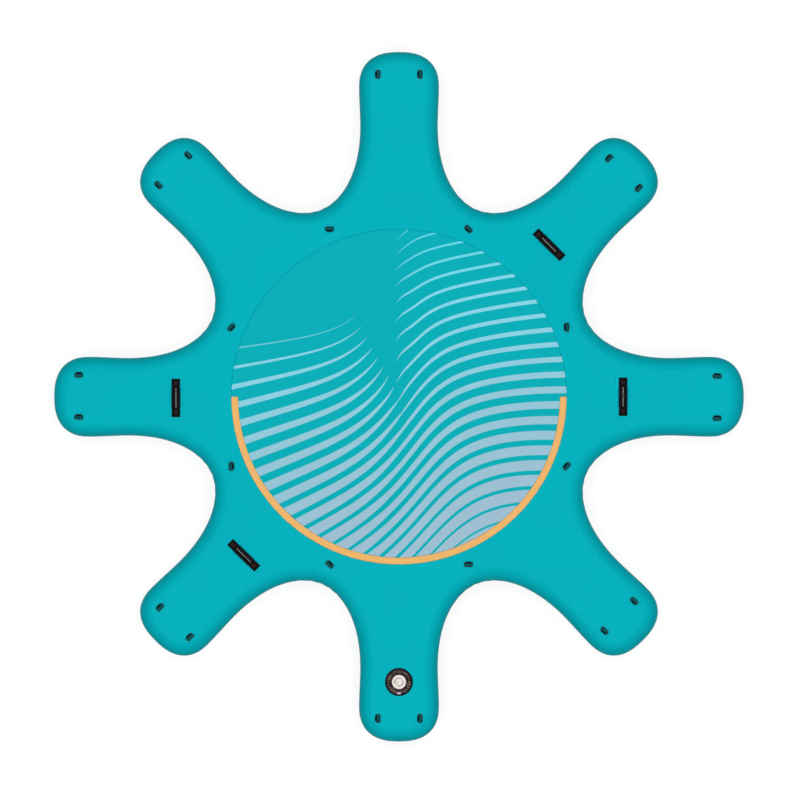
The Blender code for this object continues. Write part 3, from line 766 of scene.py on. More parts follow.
def stripe_crest(x, y):
    """How far the waves lift the stripes at a place on the pad."""
    lean = calc("MULTIPLY_ADD", y, SWELL_LEAN, calc("SUBTRACT", x, SWELL_FROM_MIDDLE))
    reach = calc("MULTIPLY_ADD", y, -SWELL_NARROWS, SWELL_REACH)
    swell = calc("TANH", calc("DIVIDE", lean, reach))
    crest = calc("MULTIPLY_ADD", swell, SWELL_HEIGHT, calc("MULTIPLY", x, STRIPE_SLOPE))
    crest = calc("MULTIPLY_ADD", calc("MULTIPLY", x, x), -STRIPE_BOW, crest)
    upper = calc("MAXIMUM", y, 0.0)
    ridge = calc("MULTIPLY", upper, calc("SUBTRACT", RIDGE_TOP, upper))
    across = calc("DIVIDE", calc("ADD", x, RIDGE_FROM_MIDDLE), RIDGE_WIDTH)
    fall = calc("MULTIPLY", calc("MULTIPLY", across, across), -1.0)
    ridge = calc("MULTIPLY", ridge, calc("EXPONENT", fall))
    return calc("MULTIPLY_ADD", ridge, RIDGE_HEIGHT, crest)


def stripe_share(x, y):
    """How far a place on the pad is inside a stripe, from 0 to 1, and which stripe it is."""
    pitch = calc("MULTIPLY_ADD", x, -PITCH_SLOPE, STRIPE_PITCH)
    pitch = calc("MULTIPLY_ADD", calc("MULTIPLY", x, x), PITCH_BOW, pitch)
    level = calc("DIVIDE", calc("SUBTRACT", stripe_crest(x, y), y), pitch)
    level = calc("SUBTRACT", level, STRIPE_SHIFT)
    stripe = calc("ROUND", level)

    left_end = calc("MINIMUM", calc("MULTIPLY_ADD", stripe, *LEFT_ENDS), LEFT_END_MOST)
    left = calc("MINIMUM", *(calc("MULTIPLY_ADD", stripe, *width) for width in LEFT_WIDTHS))
    left = calc("MULTIPLY", left, faded_end(calc("SUBTRACT", left_end, x), LEFT_TAPER))
    right_end = calc("MULTIPLY_ADD", calc("MAXIMUM", stripe, 0.0), *RIGHT_ENDS)
    right = calc("MAXIMUM", *(calc("MULTIPLY_ADD", stripe, *width) for width in RIGHT_WIDTHS))
    right = calc("MULTIPLY", right, faded_end(calc("SUBTRACT", x, right_end), RIGHT_TAPER))
    half_width = calc("MULTIPLY", calc("MAXIMUM", left, right), 0.5)

    off_centre = calc("ABSOLUTE", calc("SUBTRACT", level, stripe))
    inside = calc("SUBTRACT", half_width, off_centre)
    share = calc("MULTIPLY_ADD", inside, 1.0 / STRIPE_EDGE, 0.5)
    thin = calc("MULTIPLY", half_width, 2.0 / STRIPE_EDGE)
    return clamped(calc("MINIMUM", share, thin)), level


def pick_rim(piece, height):
    """Select the outer edges of an edited piece's top, which lies at a height."""
    pick(
        piece, "EDGE",
        lambda edge: all(abs(v.co.z - height) < LEVEL_WITHIN for v in edge.verts)
        and edge.calc_face_angle(0.0) > SHARP_EDGE,
    )


def face_outwards(piece):
    """Merge doubled points of a closed piece and turn its faces to the outside."""
    open_edit(piece, "SELECT")
    bpy.ops.mesh.remove_doubles(threshold=DOUBLED_POINTS)
    bpy.ops.mesh.normals_make_consistent(inside=False)
    close_edit()


def unite(piece, *others):
    """Merge closed pieces that overlap into one skin, which the first one keeps."""
    for other in others:
        union = piece.modifiers.new(other.name, "BOOLEAN")
        union.operation = "UNION"
        union.object = other
    apply_modifiers(piece)
    for other in others:
        bpy.data.objects.remove(other, do_unlink=True)


pad_high = PAD_LOW + PAD_THICKNESS
trim_inner = PAD_RADIUS - TRIM_WIDTH
halves = []
for half_name, radius, keep_upper in (
    ("pad_upper_half", PAD_RADIUS, True), ("pad_lower_half", trim_inner - TRIM_GAP, False),
):
    bpy.ops.mesh.primitive_cylinder_add(
        vertices=PAD_STEPS, radius=radius, depth=PAD_THICKNESS,
        location=(0.0, 0.0, PAD_LOW + PAD_THICKNESS / 2.0),
    )
    half = just_made(half_name)
    settle(half)
    open_edit(half, "SELECT")
    bpy.ops.mesh.bisect(
        plane_co=(0.0, 0.0 if keep_upper else HALVES_OVERLAP, 0.0), plane_no=(0.0, 1.0, 0.0),
        use_fill=True, clear_inner=keep_upper, clear_outer=not keep_upper,
    )
    close_edit()
    halves.append(half)
pad, lower_half = halves
pad.name = "foam_pad"
unite(pad, lower_half)
face_outwards(pad)
open_edit(pad, "SELECT")
bpy.ops.mesh.dissolve_limited(angle_limit=FLAT_WITHIN)
pick_rim(pad, pad_high)
bpy.ops.mesh.bevel(offset=PAD_ROUND, segments=ROUND_STEPS, affect="EDGES")
pick(pad, "FACE", lambda face: face.normal.z > LEVEL_NORMAL and face.calc_area() > LARGE_FACE)
bpy.ops.mesh.inset(thickness=FLAT_MARGIN)
close_edit()
smooth_shade(pad)

pad_finish, shader, place = new_finish("pad_foam_print", roughness=0.85, gloss=0.10)
x, y, _ = split_axes(place)
share, level = stripe_share(x, y)
ramp = place.id_data.nodes.new("ShaderNodeValToRGB")
stops = ramp.color_ramp.elements
stops[0].position, stops[1].position = STRIPE_TINTS[0][0], STRIPE_TINTS[-1][0]
for position, _ in STRIPE_TINTS[1:-1]:
    stops.new(position)
for stop, (_, tint) in zip(stops, STRIPE_TINTS):
    stop.color = display_colour(tint)
leftwards = clamped(calc("MULTIPLY_ADD", x, -LEFT_TINT_RATE, LEFT_TINT_RATE * LEFT_TINT_START))
tint_level = calc("MULTIPLY_ADD", leftwards, LEFT_TINT_LEVELS, level)
tint_share = calc("SUBTRACT", tint_level, FIRST_STRIPE)
feed(ramp.inputs[0], calc("DIVIDE", tint_share, LAST_STRIPE - FIRST_STRIPE))
printed = blend_colours(share, display_colour(PAD_TEAL), ramp.outputs["Color"])
dim, bright = 1.0 - PEBBLE_CONTRAST, 1.0 + PEBBLE_CONTRAST
shade = blend_colours(foam_tone(place, shader), (dim, dim, dim, 1.0), (bright, bright, bright, 1.0))
feed(shader["Base Color"], blend_colours(1.0, printed, shade, "MULTIPLY"))
finish_piece(pad, pad_finish, "platform", "deck_pad")

# Trim. A half ring of orange EVA is let into the pad's edge on the valve's side. Its outer
# edge is rounded over like the pad's, and its ends are cut square.
TRIM_ORANGE = (238, 182, 108)
TRIM_STEPS = 192
TRIM_INNER_ROUND = 0.0007
TRIM_CONTRAST = 0.06


def turned_piece(name, profile, steps, centre, start=0.0, sweep=math.tau):
    """A piece spun about an upright axis from the (radius, z) corners of its section."""
    bpy.ops.mesh.primitive_circle_add(vertices=len(profile), radius=1.0, fill_type="NOTHING")
    piece = just_made(name)
    for vertex, (radius, z) in zip(piece.data.vertices, profile):
        vertex.co = (centre[0] + radius * math.cos(start), centre[1] + radius * math.sin(start), z)
    open_edit(piece, "SELECT")
    bpy.ops.mesh.spin(
        steps=steps, angle=-sweep, center=(centre[0], centre[1], 0.0), axis=(0.0, 0.0, 1.0),
    )
    bpy.ops.mesh.select_all(action="SELECT")
    bpy.ops.mesh.remove_doubles(threshold=DOUBLED_POINTS)
    if sweep < math.tau:
        bpy.ops.mesh.fill_holes(sides=0)
    close_edit()
    face_outwards(piece)
    return piece


def top_corner(radius, z, size, start_degrees, end_degrees, steps=ROUND_STEPS):
    """Points of a section's rounded top corner; 0 degrees is outwards, and 90 is up."""
    middle = radius - size if min(start_degrees, end_degrees) < 90 else radius + size
    points = []
    for step in range(steps + 1):
        angle = math.radians(start_degrees + (end_degrees - start_degrees) * step / steps)
        points.append((middle + size * math.cos(angle), z - size + size * math.sin(angle)))
    return points


trim_section = [(trim_inner, PAD_LOW), (PAD_RADIUS, PAD_LOW)]
trim_section += top_corner(PAD_RADIUS, pad_high, PAD_ROUND, 0, 90)
trim_section += top_corner(trim_inner, pad_high, TRIM_INNER_ROUND, 90, 180, FEW_ROUND_STEPS)
trim_gap_angle = math.asin(TRIM_GAP / trim_inner)
trim = turned_piece(
    "foam_trim", trim_section, TRIM_STEPS, (0.0, 0.0),
    start=math.pi + trim_gap_angle, sweep=math.pi - 2.0 * trim_gap_angle,
)
smooth_shade(trim)
trim_finish, shader, place = new_finish("trim_foam_orange", roughness=0.80, gloss=0.10)
paint(shader, foam_tone(place, shader), TRIM_ORANGE, TRIM_ORANGE, TRIM_CONTRAST)
finish_piece(trim, trim_finish, "platform", "deck_pad_trim")

# Ring patches. Each tie-down ring is held by a small patch of the deck's cloth, which is
# hot-welded to the deck. The iron leaves a shallow line inside its edge.
PATCH_LENGTH = 0.054
PATCH_WIDTH = 0.036
PATCH_CORNER = 0.010
PATCH_LOW = 0.1500
PATCH_HIGH = 0.1510
WELD_LINE_INSET = 0.0035
WELD_LINE_WIDTH = 0.0012
WELD_LINE_DEPTH = 0.0003
WELD_LINE_SIDE = 0.3 * WELD_LINE_WIDTH
PATCH_ROUND = 0.0004
PLATE_CORNER_STEPS = 6
RING_WIDTH = 0.021
RING_ROD = 0.004
RING_TO_FAR_ROD = RING_WIDTH - RING_ROD


def rounded_plate(name, length, width, corner, low, high, edge_round):
    """A flat plate with rounded corners and a softened upper edge, round the origin."""
    bpy.ops.mesh.primitive_plane_add(size=1.0)
    plate = just_made(name)
    plate.scale = (length, width, 1.0)
    plate.location.z = low
    settle(plate)
    open_edit(plate, "SELECT")
    bpy.ops.mesh.bevel(offset=corner, segments=PLATE_CORNER_STEPS, affect="VERTICES")
    bpy.ops.mesh.select_all(action="SELECT")
    bpy.ops.mesh.extrude_region_move(TRANSFORM_OT_translate={"value": (0.0, 0.0, high - low)})
    pick_rim(plate, high)
    bpy.ops.mesh.bevel(offset=edge_round, segments=FEW_ROUND_STEPS, affect="EDGES")
    close_edit()
    face_outwards(plate)
    return plate


def press_weld_line(plate, high):
    """Sink the shallow line that the welding iron leaves inside a plate's edge."""
    open_edit(plate)
    pick(
        plate, "FACE",
        lambda face: face.normal.z > LEVEL_NORMAL
        and abs(face.calc_center_median().z - high) < LEVEL_WITHIN,
    )
    bpy.ops.mesh.inset(thickness=WELD_LINE_INSET)
    bpy.ops.mesh.inset(thickness=WELD_LINE_SIDE, depth=-WELD_LINE_DEPTH)
    bpy.ops.mesh.inset(thickness=WELD_LINE_WIDTH - 2.0 * WELD_LINE_SIDE)
    bpy.ops.mesh.inset(thickness=WELD_LINE_SIDE, depth=WELD_LINE_DEPTH)
    close_edit()


def copy_to(model, name, matrix):
    """A copy of a finished piece with its own mesh, put where a matrix says."""
    piece = model.copy()
    piece.data = model.data.copy()
    piece.name = name
    bpy.context.scene.collection.objects.link(piece)
    piece.data.transform(matrix)
    return piece


def put_copies(model, places, ending, finish, body="platform", node=""):
    """Put a copy of a piece at each named place; {} in body and node is the place's name."""
    for name, matrix in places.items():
        piece = copy_to(model, name + ending, matrix)
        finish_piece(piece, finish, body.format(name), node.format(name))
    bpy.data.objects.remove(model, do_unlink=True)


ring_swings = [joint for joint in frame["joints"] if joint["name"].endswith("_swing")]
ring_places = {}
for joint in ring_swings:
    bar_x, bar_y, bar_z = joint["pos_m"]
    axis_x, axis_y, _ = joint["axis"]
    ring_places[joint["child"]] = (
        Matrix.Translation((bar_x, bar_y, 0.0)) @ Matrix.Rotation(math.atan2(axis_y, axis_x), 4, "Z")
    )

patch = rounded_plate(
    "patch", PATCH_LENGTH, PATCH_WIDTH, PATCH_CORNER, PATCH_LOW, PATCH_HIGH, PATCH_ROUND,
)
press_weld_line(patch, PATCH_HIGH)
patch.location.y = RING_TO_FAR_ROD / 2.0
settle(patch)
smooth_shade(patch)
put_copies(patch, ring_places, "_patch", DECK_FABRIC)

# Keepers. A short thick tab of dark teal coated cloth is welded over the ends of each webbing
# loop. It fills most of the space inside the ring while the ring lies flat. The tab and its
# dark teal are painted shade: they stand for the shadow inside the ring.
KEEPER_LENGTH = 0.0280
KEEPER_WIDTH = 0.0098
KEEPER_CORNER = 0.0030
KEEPER_FROM_BAR = 0.0091
KEEPER_HIGH = 0.1536
KEEPER_ROUND = 0.0012
# Painted shade: the dark teal of the shadow inside the ring.
KEEPER_PAINTED_SHADE_TEAL = (0, 88, 96)

keeper = rounded_plate(
    "keeper", KEEPER_LENGTH, KEEPER_WIDTH, KEEPER_CORNER, PATCH_HIGH, KEEPER_HIGH, KEEPER_ROUND,
)
keeper.location.y = KEEPER_FROM_BAR
settle(keeper)
smooth_shade(keeper)
# The keeper's dark cloth is painted shade, the shadow under the ring.
KEEPER_SHADE_FABRIC = coated_fabric("keeper_fabric", KEEPER_PAINTED_SHADE_TEAL)
put_copies(keeper, ring_places, "_keeper", KEEPER_SHADE_FABRIC)

# Webbing loops. A short piece of black nylon webbing goes round the bar of each ring, and
# its two ends lie one on the other under the keeper.
LOOP_WIDTH = 0.0215
LOOP_TAPE = 0.0009
LOOP_TAIL = 0.0085
LOOP_UPPER_START = 0.0045
LOOP_UPPER_RISE = 0.0006
LOOP_BAR_RADIUS = 0.0029
LOOP_LOW = 0.1515
LOOP_TAIL_STEPS = 4
LOOP_TURN_STEPS = 16
LOOP_TURN_START = -90.0
LOOP_TURN = 250.0
LOOP_TAIL_TO_BAR = 0.8
LOOP_SAG = 0.0003
LOOP_TAILS_APART = 1.1 * LOOP_TAPE
WEBBING_EDGE_SHARE = 0.2
WEBBING_BLACK = (3, 5, 7)
WEBBING_DUSTY = (16, 18, 20)
RIB_PITCH = 0.0016
RIB_DEPTH = 0.0004
RIB_SHARE = 0.35
RIB_TONE = (0.25, 0.5)
FUZZ_LUMPS = 1200.0
DUST_LUMPS = 45.0


def webbing_weave():
    """Flat-woven webbing: ribs across it, each thread crossing over and under."""
    group, start, end = new_effect("webbing_weave", ("Rib Pitch", "Depth"), ("Tone", "Normal"))
    x, y, _ = split_axes(start["Vector"])
    rate = calc("DIVIDE", math.tau, start["Rib Pitch"])
    across = calc("MULTIPLY", y, rate)
    crossing = calc("MULTIPLY", calc("SINE", calc("MULTIPLY", across, 0.5)), math.pi)
    ribs = calc("SINE", calc("ADD", calc("MULTIPLY", x, rate), crossing))
    threads = calc("MULTIPLY", ribs, calc("SINE", across))
    greying = noise(start["Vector"], DUST_LUMPS, detail=4.0)
    feed(end["Tone"], calc("MULTIPLY", calc("MULTIPLY_ADD", threads, *RIB_TONE), greying))
    height = calc("MULTIPLY_ADD", threads, RIB_SHARE, noise(start["Vector"], FUZZ_LUMPS, detail=3.0))
    feed(end["Normal"], bump(height, start["Depth"]))
    return group


WEBBING_WEAVE = webbing_weave()
WEBBING, shader, place = new_finish("black_webbing", roughness=0.70, gloss=0.06, coordinates="UV")
weave = use_effect(WEBBING_WEAVE, place, rib_pitch=RIB_PITCH, depth=RIB_DEPTH)
paint(shader, weave["Tone"], WEBBING_BLACK, WEBBING_DUSTY)
feed(shader["Normal"], weave["Normal"])


def webbing_strip(name, path, width, thickness):
    """Webbing laid along (along, z) points, with its own length and width as its UV map."""
    bpy.ops.mesh.primitive_grid_add(x_subdivisions=len(path) - 1, y_subdivisions=2, size=1.0)
    strip = just_made(name)
    lengths = [0.0]
    for here, before in zip(path[1:], path):
        lengths.append(lengths[-1] + math.dist(here, before))
    for corner in strip.data.uv_layers.active.data:
        step = min(round(corner.uv.x * (len(path) - 1)), len(path) - 1)
        corner.uv = (lengths[step], corner.uv.y * width)
    for vertex in strip.data.vertices:
        along, height = path[round((vertex.co.x + 0.5) * (len(path) - 1))]
        vertex.co = (along, vertex.co.y * width, height)
    give_wall(strip, thickness, offset=0.0)
    soften = strip.modifiers.new("Soft edges", "BEVEL")
    soften.width = WEBBING_EDGE_SHARE * thickness
    soften.segments = 1
    soften.limit_method = "ANGLE"
    soften.angle_limit = math.radians(60.0)
    apply_modifiers(strip)
    smooth_shade(strip, 40.0)
    return strip


bar_z = ring_swings[0]["pos_m"][2]
loop_path = [
    (LOOP_TAIL * (1.0 - LOOP_TAIL_TO_BAR * step / LOOP_TAIL_STEPS), LOOP_LOW)
    for step in range(LOOP_TAIL_STEPS + 1)
]
for step in range(LOOP_TURN_STEPS + 1):
    angle = math.radians(LOOP_TURN_START - LOOP_TURN * step / LOOP_TURN_STEPS)
    loop_path.append((
        LOOP_BAR_RADIUS * math.cos(angle),
        max(bar_z + LOOP_BAR_RADIUS * math.sin(angle), LOOP_LOW - LOOP_SAG),
    ))
for step in range(1, LOOP_TAIL_STEPS + 1):
    share = step / LOOP_TAIL_STEPS
    loop_path.append((
        LOOP_UPPER_START + (LOOP_TAIL - LOOP_UPPER_START) * share,
        LOOP_LOW + LOOP_TAILS_APART + LOOP_UPPER_RISE * (1.0 - share) ** 2,
    ))
loop = webbing_strip("loop", loop_path, LOOP_WIDTH, LOOP_TAPE)
loop.rotation_euler.z = math.pi / 2.0
settle(loop)
put_copies(loop, ring_places, "_loop", WEBBING)

# Tie-down rings. Each is a black moulded oblong ring of round rod. It lies flat, and can
# swing over on the bar that its loop holds.
RING_LENGTH = 0.037
RING_CORNER = 0.005
ROD_SIDES_RESOLUTION = 3
CORNER_STEPS = 6
RING_BLACK = (12, 15, 17)
RING_SCUFFED = (52, 56, 58)
MOULD_LUMPS = 1400.0
MOULD_DEPTH = 0.00003
SCUFF_LUMPS = 90.0
SCUFF_START = 0.52
SCUFF_RATE = 5.0
SCUFF_ROUGHNESS = 0.18


def ramped(value, start, rate):
    """How far a value is past a start, times a rate, kept between 0 and 1."""
    return clamped(calc("MULTIPLY", calc("SUBTRACT", value, start), rate))


def moulded_skin():
    """Moulded plastic: a faint grain, and scuffs that are paler and rougher."""
    group, start, end = new_effect(
        "moulded_skin", ("Mean Roughness", "Depth"), ("Scuff", "Roughness", "Normal"),
    )
    scuff = ramped(noise(start["Vector"], SCUFF_LUMPS, detail=6.0), SCUFF_START, SCUFF_RATE)
    feed(end["Scuff"], scuff)
    feed(end["Roughness"], calc("MULTIPLY_ADD", scuff, SCUFF_ROUGHNESS, start["Mean Roughness"]))
    feed(end["Normal"], bump(noise(start["Vector"], MOULD_LUMPS), start["Depth"]))
    return group


MOULDED_SKIN = moulded_skin()


def scuffs(place, shader, depth=MOULD_DEPTH):
    """Give a finish the skin of moulded plastic, and return where it is scuffed."""
    roughness = shader["Roughness"].default_value
    skin = use_effect(MOULDED_SKIN, place, mean_roughness=roughness, depth=depth)
    feed(shader["Roughness"], skin["Roughness"])
    feed(shader["Normal"], skin["Normal"])
    return skin["Scuff"]


def moulded_plastic(name, shade, scuffed, roughness, gloss):
    """Moulded plastic or rubber in one colour, with paler scuffs."""
    finish, shader, place = new_finish(name, roughness, gloss)
    paint(shader, scuffs(place, shader), shade, scuffed)
    return finish


bpy.ops.mesh.primitive_plane_add(size=1.0)
ring = just_made("ring")
ring.scale = (RING_LENGTH - RING_ROD, RING_WIDTH - RING_ROD, 1.0)
ring.location = (0.0, RING_TO_FAR_ROD / 2.0, bar_z)
settle(ring)
open_edit(ring, "SELECT")
bpy.ops.mesh.bevel(offset=RING_CORNER, segments=CORNER_STEPS, affect="VERTICES")
bpy.ops.mesh.select_all(action="SELECT")
bpy.ops.mesh.delete(type="ONLY_FACE")
close_edit()
bpy.ops.object.convert(target="CURVE")
ring.data.bevel_depth = RING_ROD / 2.0
ring.data.bevel_resolution = ROD_SIDES_RESOLUTION
bpy.ops.object.convert(target="MESH")
face_outwards(ring)
smooth_shade(ring, 60.0)
RING_PLASTIC = moulded_plastic("ring_plastic", RING_BLACK, RING_SCUFFED, roughness=0.42, gloss=0.20)
put_copies(ring, ring_places, "_moulded", RING_PLASTIC, body="{}", node="{}")

# Handle bases. Each carry handle stands on an oblong patch of the deck's cloth, welded
# down all round, which spreads the pull over the deck.
HANDLE_COUNT = 4
HANDLE_LENGTH = 0.161
HANDLE_WIDTH = 0.036
BASE_MARGIN = 0.014
BASE_CORNER = 0.012
BASE_LOW = 0.1503
BASE_HIGH = 0.1513

handle_places = {}
for number in range(1, HANDLE_COUNT + 1):
    low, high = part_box(f"handle_{number}_base")
    x, y = (low.x + high.x) / 2.0, (low.y + high.y) / 2.0
    turn = Matrix.Rotation(math.atan2(y, x) + math.pi / 2.0, 4, "Z")
    handle_places[f"handle_{number}"] = Matrix.Translation((x, y, 0.0)) @ turn

base = rounded_plate(
    "base", HANDLE_LENGTH + 2.0 * BASE_MARGIN, HANDLE_WIDTH + 2.0 * BASE_MARGIN, BASE_CORNER,
    BASE_LOW, BASE_HIGH, PATCH_ROUND,
)
press_weld_line(base, BASE_HIGH)
smooth_shade(base, 25.0)
put_copies(base, handle_places, "_welded_base", DECK_FABRIC, node="{}_base")

# Handle straps. A black webbing strap is sewn to the base at both ends, each with a box of
# brown thread and a cross in it. It stands a little proud of the base in the middle, where
# it is drawn in to go through the grip.
STRAP_THICKNESS = 0.0019
STRAP_LOW = 0.1516
STRAP_RISE = 0.0035
STRAP_IN_GRIP = 0.033
TAB_START = 0.054
GRIP_HALF = 0.044
STRAP_STEPS = 28
BOX_FROM_END = 0.0205
BOX_LENGTH = 0.012
BOX_WIDTH = 0.011
THREAD_BROWN = (104, 52, 50)
STITCH_THREAD = 0.00035
STITCH_LENGTH = 0.0024
STITCH_SPACING = 0.0030
STITCH_DIP = 1.5 * STITCH_THREAD
STITCH_FLAT = 0.6
SEWING_TWISTS = 1500.0
SEWING_CONTRAST = 0.4


def sewing_thread(name, shade):
    """Twisted sewing thread in one colour."""
    finish, shader, place = new_finish(name, roughness=0.7, gloss=0.3)
    twist = noise(place, SEWING_TWISTS)
    paint(shader, twist, shade, shade, SEWING_CONTRAST)
    feed(shader["Normal"], bump(twist, TWIST_DEPTH))
    return finish


def stitches(start, end):
    """Arched stitches in a straight row between two places; each is a list of points."""
    start, end = Vector(start), Vector(end)
    count = max(1, round((end - start).length / STITCH_SPACING))
    half = (end - start).normalized() * (STITCH_LENGTH / 2.0)
    down = Vector((0.0, 0.0, -STITCH_DIP))
    rows = []
    for number in range(count):
        middle = start.lerp(end, (number + 0.5) / count)
        crown = half * STITCH_FLAT
        rows.append([middle - half + down, middle - crown, middle + crown, middle + half + down])
    return rows


def round_wire(name, rows, radius, resolution=1):
    """Wire or thread of one radius along each row of points, all in one closed mesh."""
    curve = bpy.data.curves.new(name, "CURVE")
    curve.dimensions = "3D"
    curve.bevel_depth = radius
    curve.bevel_resolution = resolution
    curve.use_fill_caps = True
    for row in rows:
        spline = curve.splines.new("POLY")
        spline.points.add(len(row) - 1)
        for point, place in zip(spline.points, row):
            point.co = (*place, 1.0)
    wire = bpy.data.objects.new(name, curve)
    bpy.context.scene.collection.objects.link(wire)
    select_only(wire)
    bpy.ops.object.convert(target="MESH")
    face_outwards(wire)
    smooth_shade(wire, 60.0)
    return wire


def sew_on(piece, name, rows, radius, finish):
    """Sew thread through a piece along rows of points, and join it to the piece."""
    thread = round_wire(name, rows, radius)
    thread.data.materials.append(finish)
    select_only(piece, thread)
    bpy.ops.object.join()


def drawn_in(along):
    """How far the strap is drawn in at a place along it: 0 where it is sewn, 1 in the grip."""
    return min(max((TAB_START - along) / (TAB_START - GRIP_HALF), 0.0), 1.0)


half_length = HANDLE_LENGTH / 2.0
strap_path = []
for step in range(STRAP_STEPS + 1):
    along = half_length * step / STRAP_STEPS
    share = drawn_in(along)
    rise = STRAP_RISE * share * share * (3.0 - 2.0 * share)
    strap_path.append((along, STRAP_LOW + STRAP_THICKNESS / 2.0 + rise))
brown_thread = sewing_thread("brown_thread", THREAD_BROWN)
box_z = STRAP_LOW + STRAP_THICKNESS + 0.5 * STITCH_THREAD
box_middle = half_length - BOX_FROM_END
corners = [
    (box_middle + sx * BOX_LENGTH / 2.0, sy * BOX_WIDTH / 2.0, box_z)
    for sx, sy in ((-1, -1), (1, -1), (1, 1), (-1, 1))
]
box_rows = []
for number in range(4):
    box_rows += stitches(corners[number], corners[(number + 1) % 4])
box_rows += stitches(corners[0], corners[2]) + stitches(corners[1], corners[3])
half_strap = webbing_strip("half_strap", strap_path, HANDLE_WIDTH, STRAP_THICKNESS)
for vertex in half_strap.data.vertices:
    vertex.co.y *= 1.0 - drawn_in(vertex.co.x) * (1.0 - STRAP_IN_GRIP / HANDLE_WIDTH)
half_strap.data.materials.append(WEBBING)
sew_on(half_strap, "box_thread", box_rows, STITCH_THREAD, brown_thread)
for handle, matrix in handle_places.items():
    for end, turn in (("left", 0.0), ("right", math.pi)):
        end_place = matrix @ Matrix.Rotation(turn, 4, "Z")
        piece = copy_to(half_strap, f"{handle}_strap_{end}", end_place)
        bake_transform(piece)
        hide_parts(f"{handle}_strap")
bpy.data.objects.remove(half_strap, do_unlink=True)

# Grips. A soft black sleeve goes round the middle of each strap. It is closed along its
# top by a zigzag seam in pale thread, and drawn in at both ends.
GRIP_WIDTH = 0.0366
GRIP_HEIGHT = 0.0056
GRIP_WALL = 0.0012
GRIP_SIDES = 64
GRIP_LEVELS = 32
GRIP_SQUARENESS = 6.0
GRIP_END_SHARE = 0.80
GRIP_END_LENGTH = 0.004
GRIP_BLACK = (3, 4, 6)
GRIP_DUSTY = (14, 16, 18)
ZIGZAG_HALF_LENGTH = 0.040
ZIGZAG_HALF_WIDTH = 0.0016
ZIGZAG_PITCH = 0.0036
ZIGZAG_THREAD = 0.0006
THREAD_PALE = (234, 233, 230)
ZIGZAG_LIFT = 0.4 * ZIGZAG_THREAD
GRIP_PEBBLE_DEPTH = 0.0001

grip_mid_z = STRAP_LOW + STRAP_RISE + STRAP_THICKNESS / 2.0
grip = open_cylinder("grip", GRIP_SIDES, GRIP_LEVELS)
power = 2.0 / GRIP_SQUARENESS
for vertex in grip.data.vertices:
    angle = math.atan2(vertex.co.y, vertex.co.x)
    along = 2.0 * GRIP_HALF * vertex.co.z
    from_end = min((GRIP_HALF - abs(along)) / GRIP_END_LENGTH, 1.0)
    fullness = math.sqrt(from_end * (2.0 - from_end))
    height = GRIP_HEIGHT * (GRIP_END_SHARE + (1.0 - GRIP_END_SHARE) * fullness)
    across = math.copysign(abs(math.cos(angle)) ** power, math.cos(angle)) * GRIP_WIDTH / 2.0
    up = math.copysign(abs(math.sin(angle)) ** power, math.sin(angle)) * height / 2.0
    vertex.co = (along, across, grip_mid_z + up)
open_edit(grip, "SELECT")
bpy.ops.mesh.normals_make_consistent(inside=False)
close_edit()
give_wall(grip, GRIP_WALL)
smooth_shade(grip, 50.0)
GRIP_RUBBER, shader, place = new_finish("grip_neoprene", roughness=0.62, gloss=0.05)
paint(shader, foam_tone(place, shader, GRIP_PEBBLE_DEPTH), GRIP_BLACK, GRIP_DUSTY)
grip.data.materials.append(GRIP_RUBBER)
zigzag = []
zigzag_count = round(2.0 * ZIGZAG_HALF_LENGTH / ZIGZAG_PITCH * 2.0)
for step in range(zigzag_count + 1):
    along = -ZIGZAG_HALF_LENGTH + 2.0 * ZIGZAG_HALF_LENGTH * step / zigzag_count
    side = ZIGZAG_HALF_WIDTH if step % 2 else -ZIGZAG_HALF_WIDTH
    zigzag.append((along, side, grip_mid_z + GRIP_HEIGHT / 2.0 + ZIGZAG_LIFT))
sew_on(grip, "grip_thread", [zigzag], ZIGZAG_THREAD, sewing_thread("pale_thread", THREAD_PALE))
put_copies(grip, handle_places, "_sleeve", None, body="{}_grip", node="{}_grip")

# Valve patch. A round patch of dark coated cloth is welded round the valve. It has a black
# rim, and pale printed marks: short ticks, and a bar towards the arm's end.
VALVE_CENTRE = (VALVE_X, VALVE_Y)
VALVE_STEPS = 96
VALVE_PATCH_INNER = 0.0294
VALVE_PATCH_OUTER = 0.0590
VALVE_PATCH_LOW = 0.1503
VALVE_PATCH_HIGH = 0.1515
VALVE_PATCH_ROUND = 0.0008
VALVE_ROUND_STEPS = 3
GROOVE_HALF_WIDTH = 0.0004
GROOVE_DEPTH = 0.0003
PATCH_RIM_WIDTH = 0.0085
PATCH_RIM_SOFT = 0.0015
PATCH_GRAIN_DEPTH = 0.00005
PATCH_BROWN = (76, 58, 56)
PATCH_DARK = (34, 16, 24)
PATCH_RIM = (6, 20, 24)
PATCH_MARK = (128, 128, 120)
PATCH_LABEL = (204, 192, 204)
MOTTLE_LUMPS = 55.0
MOTTLE_START = 0.4
MOTTLE_RATE = 5.0
MARK_WEAR = (0.6, 0.3)
TICKS = 24
TICK_INNER = 0.040
TICK_OUTER = 0.0475
TICK_SHARE = 0.30
LABEL_REACH = 0.048
LABEL_LENGTH = 0.015
LABEL_WIDTH = 0.0085
LABEL_CORNER = 0.0025


def fine_groove(radius, z):
    """Points of a fine V-shaped groove in an upper face, from its inner to its outer edge."""
    return [
        (radius - GROOVE_HALF_WIDTH, z), (radius, z - GROOVE_DEPTH), (radius + GROOVE_HALF_WIDTH, z),
    ]


def distance_off(x, y):
    """Distance from the origin of two lengths at right angles."""
    return calc("SQRT", calc("MULTIPLY_ADD", x, x, calc("MULTIPLY", y, y)))


def from_valve(place):
    """X and Y of a place from the middle of the valve, and its distance from there."""
    centred = place.id_data.nodes.new("ShaderNodeMapping")
    feed(centred.inputs["Location"], (-VALVE_X, -VALVE_Y, 0.0))
    feed(centred.inputs["Vector"], place)
    x, y, _ = split_axes(centred.outputs[0])
    return x, y, distance_off(x, y)


